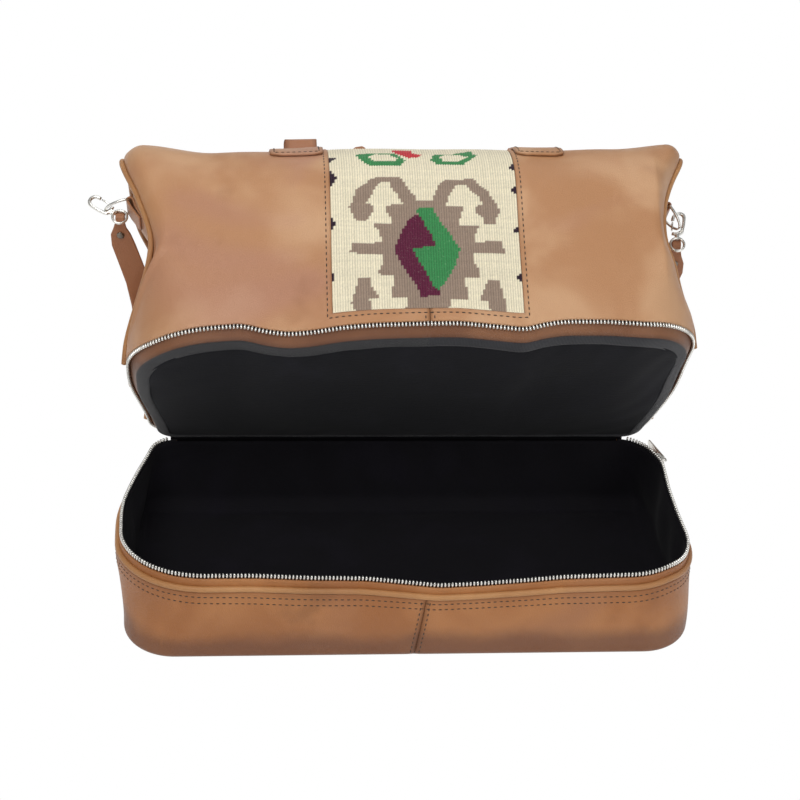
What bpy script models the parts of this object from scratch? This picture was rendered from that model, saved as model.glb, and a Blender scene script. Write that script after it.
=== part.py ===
"""A leather weekend bag with a zipped shoe compartment in its base, shown unzipped and tipped open.

The base is a shallow tray. The upper bag turns about a hinge along the top of the tray's back wall.
Lengths are metres, angles degrees. X runs along the bag, -Y is its front, +Z is up, and the origin is
the middle of the bottom's underside. Points of the upper bag are given as it stands when closed: x, y
and a height above the closing plane, where the two halves of the compartment's zip meet.
"""
import math

import bmesh
import bpy
from mathutils import Matrix, Vector

# Overall sizes
BAG_LENGTH = 0.550
BAG_DEPTH = 0.2565
TRAY_HEIGHT = 0.0760
ZIP_LINE_RISE = 0.0180
UPPER_HEIGHT = 0.2250
OPEN_ANGLE = 55.0

# Plan of the tray's rim and of the foot of the upper bag
RIM_FRONT_RADIUS = 0.078
RIM_BACK_RADIUS = 0.028
FLOOR_FRONT_RADIUS = 0.050
FLOOR_BACK_RADIUS = 0.022
FLOOR_END_TAPER = 0.0080
FLOOR_SIDE_TAPER = 0.0050
RIM_STRAIGHT = 0.0090
TURN_RADIUS = 0.0065
FLOOR_GAP = 0.0009

# Form of the upper bag
SHOULDER_RADIUS = 0.078
WAIST_HALF_LENGTH = 0.2430
WAIST_HEIGHT = 0.110
TOP_HALF_LENGTH = 0.2735
EDGE_RADIUS = 0.0160
EDGE_BLEND_HEIGHT = 0.085
FOOT_STRAIGHT = 0.018
LOWER_STATIONS = (0.045, 0.075)
END_PINCH = 0.0120

# Thicknesses and clearances
LEATHER = 0.0022
LINING = 0.0009
TAPE = 0.0008
BOARD = 0.0040
SEAM_GAP = 0.0004
END_SEAM_GAP = 0.0011
LAYER_GAP = 0.0004
PIPING_RADIUS = 0.0025
WIRE_GAP = 0.0003

# Compartment zip
FACING_LAP = 0.0060
FACING_THICKNESS = 0.0014
TEETH_HEIGHT = 0.0030
TEETH_WIDTH = 0.0026
TEETH_STAND = 0.0012
CLOSING_GAP = 0.0004
TAPE_DEPTH = 0.0110
PANEL_FOOT = 0.0046

# Divider under the upper bag. It sags a little below the closing plane, inside the tray's mouth
WELT_WIDTH = 0.0110
WELT_THICKNESS = 0.0012
DIVIDER_THICKNESS = 0.0030
DIVIDER_FOOT = -0.0100
LINING_FOOT = 0.0100
HEM_TOP = 0.0096
HEM_SLOPE = ((0.0, 0.0046), (0.0028, 0.0004), (0.0032, -0.0038), (0.0052, -0.0100))

# Hinge strip
HINGE_OFFSET = 0.0013
HINGE_STRIP_THICKNESS = 0.0012
HINGE_STRIP_REACH = 0.0240
HINGE_STRIP_HALF_LENGTH = 0.2450

# Woven panel
KILIM_HALF_WIDTH = 0.0895
KILIM_FOOT = 0.0177
KILIM_RECESS = 0.0004
KILIM_THICKNESS = 0.0020
KILIM_COLUMNS = 22
KILIM_ROWS_UP = 12

# Top zip
TOP_SLOT_HALF_WIDTH = 0.0120
TOP_TEETH_WIDTH = 0.0046
TOP_TEETH_DEPTH = 0.0024
TOP_TEETH_SINK = 0.0006
TOP_TAPE_WIDTH = 0.0140
TOP_ZIP_END = 0.0340
TOP_SLIDER_X = (-0.066, -0.044)

# Zip sliders and pulls
SLIDER_LENGTH = 0.0120
SLIDER_WIDTH = 0.0076
SLIDER_THICKNESS = 0.0026
BRIDGE_RADIUS = 0.0042
BRIDGE_WIRE = 0.0009
BRIDGE_SINK = 0.0010
TOP_PULL_WIDTH = 0.0095
BASE_PULL_WIDTH = 0.0070
PULL_RAIL = 0.0021
PULL_THICKNESS = 0.0016
PULL_BAR = 0.0015
PULL_PLAY = 0.0007
PULL_WINDOW = 0.0060
TOP_PULL_LENGTH = (0.030, 0.043)
TOP_PULL_TILT = (-78.0, 6.0)
BASE_PULL_LENGTH = 0.034
BASE_SLIDER_Y = 0.086
BASE_PULL_TILT = 86.0

# Handles, their rings and tabs
HANDLE_HALF_SPAN = 0.119
HANDLE_HINGE_Y = 0.038
HANDLE_RISE = 0.148
HANDLE_DIAMETER = 0.0125
HANDLE_END_WIDTH = 0.030
HANDLE_END_THICKNESS = 0.0030
HANDLE_END_LENGTH = 0.040
HANDLE_REST = {"front": 60.0, "back": 64.0}
HANDLE_TAB_WIDTH = 0.050
HANDLE_TAB_ARC = 32.0
HANDLE_RING_WIDTH = 0.060
HANDLE_RING_LENGTH = 0.0165
HANDLE_RING_WIRE = 0.0019
RING_CORNER = 0.0045
TAB_THICKNESS = 0.0022

# Side tabs, D-rings and snap hooks
SIDE_TAB_WIDTH = 0.026
SIDE_TAB_DROP = 0.027
SIDE_TAB_LENGTH = 0.068
D_RING_WIRE = 0.0016
D_RING_WIDTH = 0.030
D_RING_REACH = 0.026
D_RING_DROP = {"left": 12.0, "right": 50.0}
HOOK_WIRE = 0.0021
HOOK_THROAT = 0.0060
HOOK_SHANK = 0.0180
HOOK_NECK = 0.0050
HOOK_TIP = 0.0030
HOOK_RISE = {"left": 34.0, "right": 90.0}
HOOK_SLACK = {"left": 0.0, "right": 0.003}
EYE_RADIUS = 0.0076
EYE_WIRE = 0.0017
GATE_RADIUS = 0.0013

# Shoulder strap
STRAP_WIDTH = 0.024
STRAP_END_WIDTH = 0.009
STRAP_THICKNESS = 0.0030
STRAP_CURL_RADIUS = 0.0049
STRAP_BACK_Y = 0.226
STRAP_LOW_POINT = 0.030
RIVET_RADIUS = 0.0042
RIVET_TOP = 0.0030
RIVET_HEIGHT = 0.0014
RIVET_RING = 2

# Steps of the curved surfaces
FRONT_STEPS = 5
CORNER_STEPS = 6
SIDE_STEPS = 3
BACK_CORNER_STEPS = 4
BACK_STEPS = 4
SHOULDER_STEPS = 6
END_COLUMNS = 7
EDGE_TURN = (0.0, 15.0, 30.0, 45.0, 60.0, 75.0, 90.0)
LINING_TURN = (0.0, 30.0, 60.0, 90.0)
ZIP_END_TURN = (0.0, 30.0, 60.0, 76.0)

ZIP_LINE_HEIGHT = TRAY_HEIGHT + ZIP_LINE_RISE
FACING_FOOT = TRAY_HEIGHT - FACING_LAP
SIDE_TAB_TOP = UPPER_HEIGHT - SIDE_TAB_DROP
SIDE_TAB_FOOT = SIDE_TAB_TOP - SIDE_TAB_LENGTH
HALF_LENGTH = BAG_LENGTH / 2
HALF_DEPTH = BAG_DEPTH / 2
HINGE_Y = HALF_DEPTH + HINGE_OFFSET
FLAT_HALF_DEPTH = HALF_DEPTH - SHOULDER_RADIUS
TAPE_INSET = LEATHER + LAYER_GAP
INNER_FACING_INSET = TAPE_INSET + TAPE + LAYER_GAP
BASE_FACING_INSET = LEATHER + LAYER_GAP
BASE_TAPE_INSET = BASE_FACING_INSET + FACING_THICKNESS + LAYER_GAP
BASE_LINING_INSET = BASE_TAPE_INSET + TAPE + LAYER_GAP
TEETH_TOP = ZIP_LINE_HEIGHT - CLOSING_GAP
TEETH_FOOT = TEETH_TOP - TEETH_HEIGHT
FACING_TOP = TEETH_FOOT - TEETH_STAND

UPPER_LEAN = Vector((0.0, math.sin(math.radians(OPEN_ANGLE)), math.cos(math.radians(OPEN_ANGLE))))

COLOURS = {
    "tan_leather": ((0.36, 0.19, 0.09), 0.45, 0.0),
    "base_leather": ((0.19, 0.075, 0.027), 0.42, 0.0),
    "edge_leather": ((0.42, 0.22, 0.08), 0.40, 0.0),
    "lining": ((0.012, 0.012, 0.018), 0.80, 0.0),
    "webbing": ((0.04, 0.04, 0.045), 0.75, 0.0),
    "metal": ((0.55, 0.55, 0.53), 0.28, 1.0),
    "dark_metal": ((0.16, 0.15, 0.14), 0.35, 1.0),
    "board": ((0.10, 0.08, 0.06), 0.85, 0.0),
    "wool_cream": ((0.80, 0.76, 0.60), 0.90, 0.0),
    "wool_taupe": ((0.30, 0.22, 0.17), 0.90, 0.0),
    "wool_green": ((0.07, 0.27, 0.12), 0.90, 0.0),
    "wool_burgundy": ((0.10, 0.012, 0.03), 0.90, 0.0),
    "wool_dark": ((0.03, 0.012, 0.03), 0.90, 0.0),
    "wool_red": ((0.55, 0.03, 0.04), 0.90, 0.0),
}


def clear_scene():
    for item in list(bpy.data.objects):
        bpy.data.objects.remove(item, do_unlink=True)


def new_collection(name):
    collection = bpy.data.collections.new(name)
    bpy.context.scene.collection.children.link(collection)
    return collection


clear_scene()
PARTS = new_collection("travel_bag")
CUTTERS = new_collection("cutters")


def material(name):
    found = bpy.data.materials.get(name)
    if found:
        return found
    colour, roughness, metallic = COLOURS[name]
    made = bpy.data.materials.new(name)
    made.use_nodes = True
    shader = made.node_tree.nodes["Principled BSDF"]
    shader.inputs["Base Color"].default_value = (*colour, 1.0)
    shader.inputs["Roughness"].default_value = roughness
    shader.inputs["Metallic"].default_value = metallic
    made.diffuse_color = (*colour, 1.0)
    return made


def mix(first, second, share):
    return first + (second - first) * share


def smooth(share):
    share = min(max(share, 0.0), 1.0)
    return share * share * (3.0 - 2.0 * share)


def pivot(name, location, rotation=(0.0, 0.0, 0.0), parent=None):
    """An empty on a joint's axis, which carries the pieces that turn or slide there."""
    empty = bpy.data.objects.new(name, None)
    empty.empty_display_size = 0.02
    empty.location = location
    empty.rotation_euler = [math.radians(angle) for angle in rotation]
    empty.parent = parent
    PARTS.objects.link(empty)
    return empty


def add_object(name, mesh, material_names, parent=None):
    item = bpy.data.objects.new(name, mesh)
    names = material_names if isinstance(material_names, (list, tuple)) else [material_names]
    for material_name in names:
        mesh.materials.append(material(material_name))
    item.parent = parent
    PARTS.objects.link(item)
    return item


def mesh_from(name, points, faces):
    mesh = bpy.data.meshes.new(name)
    mesh.from_pydata([tuple(point) for point in points], [], faces)
    mesh.validate()
    mesh.update()
    return mesh


def solidify(item, thickness):
    shell = item.modifiers.new("wall", "SOLIDIFY")
    shell.thickness = thickness
    shell.offset = -1.0
    shell.use_even_offset = True
    return item


def sheet(name, rows, thickness, material_names, parent=None, closed=False, flip=False, skip=None):
    """A panel: a grid of points whose outer face looks along column x row, given its thickness inwards."""
    rows = [list(reversed(row)) for row in rows] if flip else rows
    width = len(rows[0])
    points = [point for row in rows for point in row]
    faces = []
    for j in range(len(rows) - 1):
        for i in range(width if closed else width - 1):
            cell = (width - 2 - i if flip else i, j)
            if skip and skip(*cell):
                continue
            k = (i + 1) % width
            faces.append((j * width + i, j * width + k, (j + 1) * width + k, (j + 1) * width + i))
    mesh = mesh_from(name, points, faces)
    if skip:
        drop_loose_points(mesh)
    return solidify(add_object(name, mesh, material_names, parent), thickness)


def drop_loose_points(mesh):
    work = bmesh.new()
    work.from_mesh(mesh)
    bmesh.ops.delete(work, geom=[v for v in work.verts if not v.link_faces], context="VERTS")
    work.to_mesh(mesh)
    work.free()


def loft(name, rings, material_names, parent=None):
    """A closed body through rings of points, with both ends capped."""
    count = len(rings[0])
    points = [point for ring in rings for point in ring]
    faces = []
    for j in range(len(rings) - 1):
        for i in range(count):
            k = (i + 1) % count
            faces.append((j * count + i, j * count + k, (j + 1) * count + k, (j + 1) * count + i))
    faces.append(tuple(reversed(range(count))))
    faces.append(tuple((len(rings) - 1) * count + i for i in range(count)))
    mesh = mesh_from(name, points, faces)
    face_outwards(mesh)
    return add_object(name, mesh, material_names, parent)


def face_outwards(mesh):
    work = bmesh.new()
    work.from_mesh(mesh)
    bmesh.ops.remove_doubles(work, verts=work.verts, dist=0.00001)
    bmesh.ops.recalc_face_normals(work, faces=work.faces)
    work.to_mesh(mesh)
    work.free()


def tangents(points):
    last = len(points) - 1
    return [(points[min(i + 1, last)] - points[max(i - 1, 0)]).normalized() for i in range(last + 1)]


def strip_rings(points, across, width, thickness):
    """Flat strap sections along a path. across is the width's direction, one for all points or one each."""
    sides = across if isinstance(across, list) else [across] * len(points)
    rings = []
    for point, tangent, side in zip(points, tangents(points), sides):
        side = (side - tangent * side.dot(tangent)).normalized() * (width / 2)
        up = tangent.cross(side).normalized() * (thickness / 2)
        rings.append([point + side + up, point - side + up, point - side - up, point + side - up])
    return rings


def wire(name, points, radius, material_name, parent=None, cyclic=False, resolution=1):
    """A round wire or cord: a bevelled curve with filled caps."""
    curve = bpy.data.curves.new(name, "CURVE")
    curve.dimensions = "3D"
    curve.bevel_depth = radius
    curve.bevel_resolution = resolution
    curve.use_fill_caps = True
    spline = curve.splines.new("POLY")
    spline.points.add(len(points) - 1)
    for knot, point in zip(spline.points, points):
        knot.co = (*point, 1.0)
    spline.use_cyclic_u = cyclic
    curve.materials.append(material(material_name))
    item = bpy.data.objects.new(name, curve)
    item.parent = parent
    PARTS.objects.link(item)
    return item


def made_mesh(item, collection=PARTS):
    """The same object as a plain mesh, which a Boolean can join or cut."""
    bpy.context.view_layer.update()
    evaluated = item.evaluated_get(bpy.context.evaluated_depsgraph_get())
    mesh = bpy.data.meshes.new_from_object(evaluated)
    face_outwards(mesh)
    name, parent, matrix = item.name, item.parent, item.matrix_world.copy()
    bpy.data.objects.remove(item, do_unlink=True)
    made = bpy.data.objects.new(name, mesh)
    made.parent = parent
    collection.objects.link(made)
    made.matrix_world = matrix
    return made


def join(base, other):
    """Makes two overlapping meshes one solid. The second goes to the cutters."""
    PARTS.objects.unlink(other)
    CUTTERS.objects.link(other)
    other.hide_render = True
    other.display_type = "WIRE"
    union = base.modifiers.new("join", "BOOLEAN")
    union.operation = "UNION"
    union.solver = "EXACT"
    union.object = other
    return base


def block(name, size, centre, material_name, parent=None, bevel=0.0):
    work = bmesh.new()
    bmesh.ops.create_cube(work, size=1.0)
    bmesh.ops.scale(work, vec=size, verts=work.verts)
    bmesh.ops.translate(work, vec=centre, verts=work.verts)
    mesh = bpy.data.meshes.new(name)
    work.to_mesh(mesh)
    work.free()
    item = add_object(name, mesh, material_name, parent)
    if bevel:
        edge = item.modifiers.new("edges", "BEVEL")
        edge.width = bevel
        edge.segments = 1
    return item


# Plan outlines

def half_outline(half_length, half_depth, front_radius, back_radius, inset=0.0, seam=0.0):
    """Right half of a rounded rectangle seen from above, from the front's middle to the back's."""
    x_end = half_length - inset
    y_end = half_depth - inset
    front = front_radius - inset
    back = back_radius - inset
    points = [(mix(seam, x_end - front, i / FRONT_STEPS), -y_end) for i in range(FRONT_STEPS)]
    for i in range(CORNER_STEPS):
        angle = math.pi / 2 * i / CORNER_STEPS
        points.append((x_end - front + front * math.sin(angle), -y_end + front - front * math.cos(angle)))
    for i in range(SIDE_STEPS):
        points.append((x_end, mix(-y_end + front, y_end - back, i / SIDE_STEPS)))
    for i in range(BACK_CORNER_STEPS):
        angle = math.pi / 2 * i / BACK_CORNER_STEPS
        points.append((x_end - back + back * math.cos(angle), y_end - back + back * math.sin(angle)))
    for i in range(BACK_STEPS + 1):
        points.append((mix(x_end - back, seam, i / BACK_STEPS), y_end))
    return points


def whole_outline(half):
    """Both halves as one ring, anticlockwise from above, starting at the front's middle."""
    return half + [(-x, y) for x, y in reversed(half[1:-1])]


def front_run(half):
    """The outline round the front and both ends, from the back left corner to the back right one."""
    kept = half[:len(half) - BACK_STEPS]
    return [(-x, y) for x, y in reversed(kept[1:])] + kept


def tray_outline(height, inset=0.0, seam=0.0):
    share = smooth(height / (TRAY_HEIGHT - RIM_STRAIGHT))
    return half_outline(
        HALF_LENGTH - FLOOR_END_TAPER * (1.0 - share),
        HALF_DEPTH - FLOOR_SIDE_TAPER * (1.0 - share),
        mix(FLOOR_FRONT_RADIUS, RIM_FRONT_RADIUS, share),
        mix(FLOOR_BACK_RADIUS, RIM_BACK_RADIUS, share),
        inset,
        seam,
    )


def rim_outline(inset):
    return half_outline(HALF_LENGTH, HALF_DEPTH, RIM_FRONT_RADIUS, RIM_BACK_RADIUS, inset)


def at_height(outline, height):
    return [Vector((x, y, height)) for x, y in outline]


def ring_band(name, outline_outer, outline_inner, low, high, material_name, parent=None, closed=True):
    """A band of rectangular section between two outlines of the same number of points."""
    corners = [(outline_outer, low), (outline_outer, high), (outline_inner, high), (outline_inner, low)]
    rings = []
    for i in range(len(outline_outer)):
        rings.append([Vector((outline[i][0], outline[i][1], height)) for outline, height in corners])
    if not closed:
        return loft(name, rings, material_name, parent)
    count = len(rings)
    points = [point for ring in rings for point in ring]
    faces = []
    for j in range(count):
        n = (j + 1) % count
        for i in range(4):
            k = (i + 1) % 4
            faces.append((j * 4 + i, j * 4 + k, n * 4 + k, n * 4 + i))
    mesh = mesh_from(name, points, faces)
    face_outwards(mesh)
    return add_object(name, mesh, material_name, parent)


def plate(name, outline, low, high, material_name, parent=None):
    """A flat plate of the outline's shape."""
    rings = [[Vector((x, y, height)) for x, y in outline] for height in (low, high)]
    return loft(name, rings, material_name, parent)


# Base of the bag

def wall_section(inset):
    """Heights and insets up the tray's wall: the turn at its foot, then the upright part."""
    section = []
    radius = TURN_RADIUS - inset
    for angle in (0.0, 20.0, 55.0):
        turn = math.radians(angle)
        section.append((TURN_RADIUS - radius * math.cos(turn), TURN_RADIUS - radius * math.sin(turn)))
    section.append((TURN_RADIUS, inset))
    section.append((mix(TURN_RADIUS, TRAY_HEIGHT, 0.45), inset))
    section.append((TRAY_HEIGHT - RIM_STRAIGHT, inset))
    section.append((TRAY_HEIGHT, inset))
    return section


def make_tray():
    for side in ("left", "right"):
        rows = []
        for height, inset in wall_section(0.0):
            outline = tray_outline(height, inset, SEAM_GAP / 2)
            if side == "left":
                outline = [(-x, y) for x, y in outline]
            rows.append(at_height(outline, height))
        sheet("base_wall_" + side, rows, LEATHER, "base_leather", flip=side == "left")

    floor_outline = whole_outline(tray_outline(0.0, TURN_RADIUS + FLOOR_GAP))
    plate("base_bottom", floor_outline, 0.0, LEATHER, "base_leather")

    board_low = LEATHER + LAYER_GAP
    board_outline = whole_outline(tray_outline(board_low, TURN_RADIUS + FLOOR_GAP))
    plate("base_board", board_outline, board_low, board_low + BOARD, "board")

    piping_run = front_run(rim_outline(BASE_FACING_INSET - WIRE_GAP - PIPING_RADIUS))
    path = at_height(piping_run, TRAY_HEIGHT + PIPING_RADIUS + WIRE_GAP)
    wire("base_piping", path, PIPING_RADIUS, "edge_leather")
    make_base_lining(board_low + BOARD + LAYER_GAP)


def make_base_lining(floor):
    """A loose tub of black cloth: walls, a turn and a floor."""
    top = FACING_TOP - 0.001
    turn = TURN_RADIUS
    rows = []
    low = floor + LINING
    flat_inset = BASE_LINING_INSET + turn
    rows.append(at_height(whole_outline(tray_outline(0.0, flat_inset)), low))
    bend = BASE_LINING_INSET + turn * 0.3
    rows.append(at_height(whole_outline(tray_outline(low + turn * 0.3, bend)), low + turn * 0.3))
    for height in (low + turn, mix(low, TRAY_HEIGHT, 0.5), TRAY_HEIGHT, top):
        rows.append(at_height(whole_outline(tray_outline(height, BASE_LINING_INSET + LINING)), height))
    inner = [list(row) for row in rows]
    width = len(inner[0])
    points = [point for row in inner for point in row]
    faces = [tuple(range(width))]
    for j in range(len(inner) - 1):
        for i in range(width):
            k = (i + 1) % width
            faces.append((j * width + i, (j + 1) * width + i, (j + 1) * width + k, j * width + k))
    mesh = mesh_from("base_lining", points, faces)
    face_floor_up(mesh)
    item = add_object("base_lining", mesh, "lining")
    cloth = item.modifiers.new("cloth", "SOLIDIFY")
    cloth.thickness = LINING
    cloth.offset = -1.0
    cloth.use_even_offset = True


def face_floor_up(mesh):
    """Turns an open tub so that its faces look inwards and up."""
    work = bmesh.new()
    work.from_mesh(mesh)
    bmesh.ops.recalc_face_normals(work, faces=work.faces)
    work.faces.ensure_lookup_table()
    if work.faces[0].normal.z < 0.0:
        bmesh.ops.reverse_faces(work, faces=work.faces)
    work.to_mesh(mesh)
    work.free()


def zip_band(name, inset, thickness, low, high, material_name, parent=None, offset=(0.0, 0.0)):
    """A band of the compartment's zip, round the front and both ends."""
    outer = [(x + offset[0], y + offset[1]) for x, y in front_run(rim_outline(inset))]
    inner = [(x + offset[0], y + offset[1]) for x, y in front_run(rim_outline(inset + thickness))]
    return ring_band(name, outer, inner, low, high, material_name, parent, closed=False)


def make_base_zip():
    facing = BASE_FACING_INSET
    zip_band("base_zip_facing", facing, FACING_THICKNESS, FACING_FOOT, FACING_TOP, "base_leather")
    tape_top = TEETH_FOOT - WIRE_GAP
    zip_band("base_zip_tape", BASE_TAPE_INSET, TAPE, tape_top - TAPE_DEPTH, tape_top, "lining")
    teeth = BASE_TAPE_INSET + TAPE / 2 - TEETH_WIDTH / 2
    zip_band("base_zip_teeth", teeth, TEETH_WIDTH, TEETH_FOOT, TEETH_TOP, "metal")


# Upper bag: points relative to the hinge axis, as it stands when closed

def hung(x, y, height):
    return Vector((x, y - HINGE_Y, height))


def half_length_at(height):
    """The ends rise straight from the zip, draw in towards a waist and spread again at the top."""
    if height < WAIST_HEIGHT:
        share = smooth((WAIST_HEIGHT - height) / (WAIST_HEIGHT - FOOT_STRAIGHT))
        return mix(WAIST_HALF_LENGTH, HALF_LENGTH, share)
    share = smooth((height - WAIST_HEIGHT) / (UPPER_HEIGHT - WAIST_HEIGHT))
    return mix(WAIST_HALF_LENGTH, TOP_HALF_LENGTH, share)


def edge_radius_at(height, side):
    foot = RIM_FRONT_RADIUS if side < 0 else RIM_BACK_RADIUS
    share = smooth((height - FOOT_STRAIGHT) / (EDGE_BLEND_HEIGHT - FOOT_STRAIGHT))
    return mix(foot, EDGE_RADIUS, share)


def profile(foot=PANEL_FOOT, slot=TOP_SLOT_HALF_WIDTH, straight=None):
    """Front half of the upper bag's side view: y, height and outward normal, from the foot to the slot."""
    straight_top = UPPER_HEIGHT - SHOULDER_RADIUS
    heights = straight or [KILIM_FOOT, *LOWER_STATIONS, WAIST_HEIGHT]
    stations = [(-HALF_DEPTH, height, -1.0, 0.0) for height in [foot] + heights]
    for i in range(SHOULDER_STEPS + 1):
        angle = math.pi / 2 * i / SHOULDER_STEPS
        normal = (-math.cos(angle), math.sin(angle))
        y = -FLAT_HALF_DEPTH + SHOULDER_RADIUS * normal[0]
        stations.append((y, straight_top + SHOULDER_RADIUS * normal[1], *normal))
    stations.append((-slot, UPPER_HEIGHT, 0.0, 1.0))
    return stations


def panel_point(station, side, x, drop):
    """A point of the front (side -1) or back (side 1) panel, drop metres under its outer face."""
    y, height, normal_y, normal_z = station
    return hung(x, -side * (y - normal_y * drop), height - normal_z * drop)


def half_panel_rows(side, seam, inset, stations, straight_columns, fixed=(), turns=EDGE_TURN):
    """Rows of the right half of a panel, from the middle out and round its end edge."""
    rows = []
    for station in stations:
        height = station[1]
        half = half_length_at(height)
        radius = edge_radius_at(height, side)
        row = [panel_point(station, side, x, inset) for x in (seam, *fixed)]
        start = fixed[-1] if fixed else seam
        for i in range(1, straight_columns + 1):
            x = mix(start, half - radius, i / straight_columns)
            row.append(panel_point(station, side, x, inset))
        for turn in turns[1:]:
            angle = math.radians(turn)
            reach = radius - inset
            x = half - radius + reach * math.sin(angle)
            row.append(panel_point(station, side, x, radius - reach * math.cos(angle)))
        rows.append(row)
    return rows


def mirrored(rows):
    return [[Vector((-p.x, p.y, p.z)) for p in row] for row in rows]


def make_leather_panels(upper):
    stations = profile()
    fixed = (KILIM_HALF_WIDTH,)
    front_right = half_panel_rows(-1, SEAM_GAP / 2, 0.0, stations, 5, fixed)
    back_right = half_panel_rows(1, SEAM_GAP / 2, 0.0, stations, 6)
    for name, rows in (("right", front_right), ("left", mirrored(front_right))):
        sheet("front_panel_" + name, rows, LEATHER, "tan_leather", upper, flip=name == "left",
              skip=lambda column, row: column < 1 and row >= 1)
    for name, rows in (("right", back_right), ("left", mirrored(back_right))):
        sheet("back_panel_" + name, rows, LEATHER, "tan_leather", upper, flip=name == "right")


def pinch_at(height):
    """How far the middle of an end is drawn in."""
    share = max(0.0, height - FOOT_STRAIGHT) / (UPPER_HEIGHT - FOOT_STRAIGHT)
    return END_PINCH * math.sin(math.pi * share) ** 2


def end_rows(inset, stations, columns, gap):
    """Rows of the right end, across from the front panel's edge to the back panel's."""
    rows = []
    for station in stations:
        y, height, normal_y, normal_z = station
        edges = []
        for side in (-1, 1):
            drop = edge_radius_at(height, side) + gap
            edges.append((-side * (y - normal_y * drop), height - normal_z * drop))
        row = []
        for i in range(columns + 1):
            share = i / columns
            pinch = pinch_at(height) * math.sin(math.pi * share) ** 2
            row.append(hung(
                half_length_at(height) - inset - pinch,
                mix(edges[0][0], edges[1][0], share),
                mix(edges[0][1], edges[1][1], share),
            ))
        rows.append(row)
    return rows


def make_end_panels(upper):
    stations = profile()[:-1]
    right = end_rows(0.0, stations, END_COLUMNS, END_SEAM_GAP)
    sheet("end_panel_right", right, LEATHER, "tan_leather", upper)
    sheet("end_panel_left", mirrored(right), LEATHER, "tan_leather", upper, flip=True)
    for side, sign in (("left", -1), ("right", 1)):
        wire("piping_" + side, piping_path(sign), PIPING_RADIUS, "edge_leather", upper)


def piping_path(sign):
    """Up the front edge of an end, over the top and down its back edge, just proud of the seam."""
    stations = profile(slot=FLAT_HALF_DEPTH / 2)
    path = []
    for side, order in ((-1, stations), (1, list(reversed(stations)))):
        for station in order:
            radius = edge_radius_at(station[1], side)
            x = sign * (half_length_at(station[1]) + PIPING_RADIUS + WIRE_GAP)
            path.append(panel_point(station, side, x, radius))
    return path


def make_upper_lining(upper):
    inset = LEATHER + LAYER_GAP
    inset_front = max(inset, KILIM_RECESS + KILIM_THICKNESS + LAYER_GAP)
    heights = [FOOT_STRAIGHT, *LOWER_STATIONS, WAIST_HEIGHT]
    stations = profile(LINING_FOOT, TOP_SLOT_HALF_WIDTH + 0.001, heights)
    for side, name in ((-1, "front"), (1, "back")):
        drop = inset_front + TAPE + LAYER_GAP
        half = half_panel_rows(side, 0.0, drop, stations, 3, turns=LINING_TURN)
        rows = [row_left[::-1] + row_right[1:] for row_left, row_right in zip(mirrored(half), half)]
        sheet("lining_" + name, rows, LINING, "lining", upper, flip=side == 1)
    end_inset = inset_front + TAPE + LAYER_GAP
    right = end_rows(end_inset, stations[:-1], END_COLUMNS, 2 * END_SEAM_GAP)
    sheet("lining_end_right", right, LINING, "lining", upper)
    sheet("lining_end_left", mirrored(right), LINING, "lining", upper, flip=True)


# Woven panel

def kilim_colour(x, height):
    """Fields of the traditional ram's-horn motif: 0 cream, 1 taupe, 2 green, 3 burgundy, 4 dark, 5 red."""
    across = abs(x) / KILIM_HALF_WIDTH
    up = (height - KILIM_FOOT) / 0.20
    diamond = abs(x) / 0.024 + abs(height - 0.100) / 0.045
    if diamond < 1.0:
        return 3 if x < 0.0 else 2
    if across > 0.86 and abs((up * 4.0) % 1.0 - 0.5) < 0.28:
        return 4
    if abs(up - 0.42) < 0.05 and across < 0.72:
        return 1
    hook = abs(across - 0.58) < 0.14 and 0.10 < up < 0.78
    if hook and abs(up - 0.60) > 0.05:
        return 1
    if 0.80 < up < 0.98 and 0.22 < across < 0.62:
        return 2
    if 0.86 < up < 1.10 and across < 0.14:
        return 5
    return 0


def make_kilim(upper):
    clear = SEAM_GAP
    span = KILIM_HALF_WIDTH - clear
    straight_top = UPPER_HEIGHT - SHOULDER_RADIUS
    heights = [mix(KILIM_FOOT + clear, straight_top, i / KILIM_ROWS_UP) for i in range(KILIM_ROWS_UP)]
    stations = profile(heights[0], TOP_SLOT_HALF_WIDTH, heights[1:])
    rows = []
    for station in stations:
        row = []
        for i in range(KILIM_COLUMNS + 1):
            x = mix(-span, span, i / KILIM_COLUMNS)
            row.append(panel_point(station, -1, x, KILIM_RECESS))
        rows.append(row)
    wools = ["wool_cream", "wool_taupe", "wool_green", "wool_burgundy", "wool_dark", "wool_red"]
    item = sheet("kilim_panel", rows, KILIM_THICKNESS, wools, upper)
    for polygon in item.data.polygons:
        centre = polygon.center
        reach = centre.z + max(0.0, centre.y + HINGE_Y + HALF_DEPTH)
        polygon.material_index = kilim_colour(centre.x, reach)


# Divider and the upper half of the compartment's zip

def hung_outline(outline):
    return [(x, y - HINGE_Y) for x, y in outline]


def make_divider(upper):
    offset = (0.0, -HINGE_Y)
    teeth_inset = TAPE_INSET + TAPE / 2 - TEETH_WIDTH / 2
    teeth_top = CLOSING_GAP + TEETH_HEIGHT
    zip_band("upper_zip_teeth", teeth_inset, TEETH_WIDTH, CLOSING_GAP, teeth_top, "metal", upper, offset)
    tape_foot = teeth_top + WIRE_GAP
    zip_band("upper_zip_tape", TAPE_INSET, TAPE, tape_foot, tape_foot + TAPE_DEPTH, "lining", upper, offset)
    make_hem(upper)
    inset = INNER_FACING_INSET + HEM_SLOPE[-1][0] + FACING_THICKNESS + LAYER_GAP
    outer = hung_outline(whole_outline(rim_outline(inset)))
    inner = hung_outline(whole_outline(rim_outline(inset + WELT_WIDTH)))
    welt_top = DIVIDER_FOOT - LAYER_GAP
    ring_band("divider_welt", outer, inner, welt_top - WELT_THICKNESS, welt_top, "webbing", upper)
    plate("divider_panel", outer, DIVIDER_FOOT, DIVIDER_FOOT + DIVIDER_THICKNESS, "lining", upper)


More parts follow.
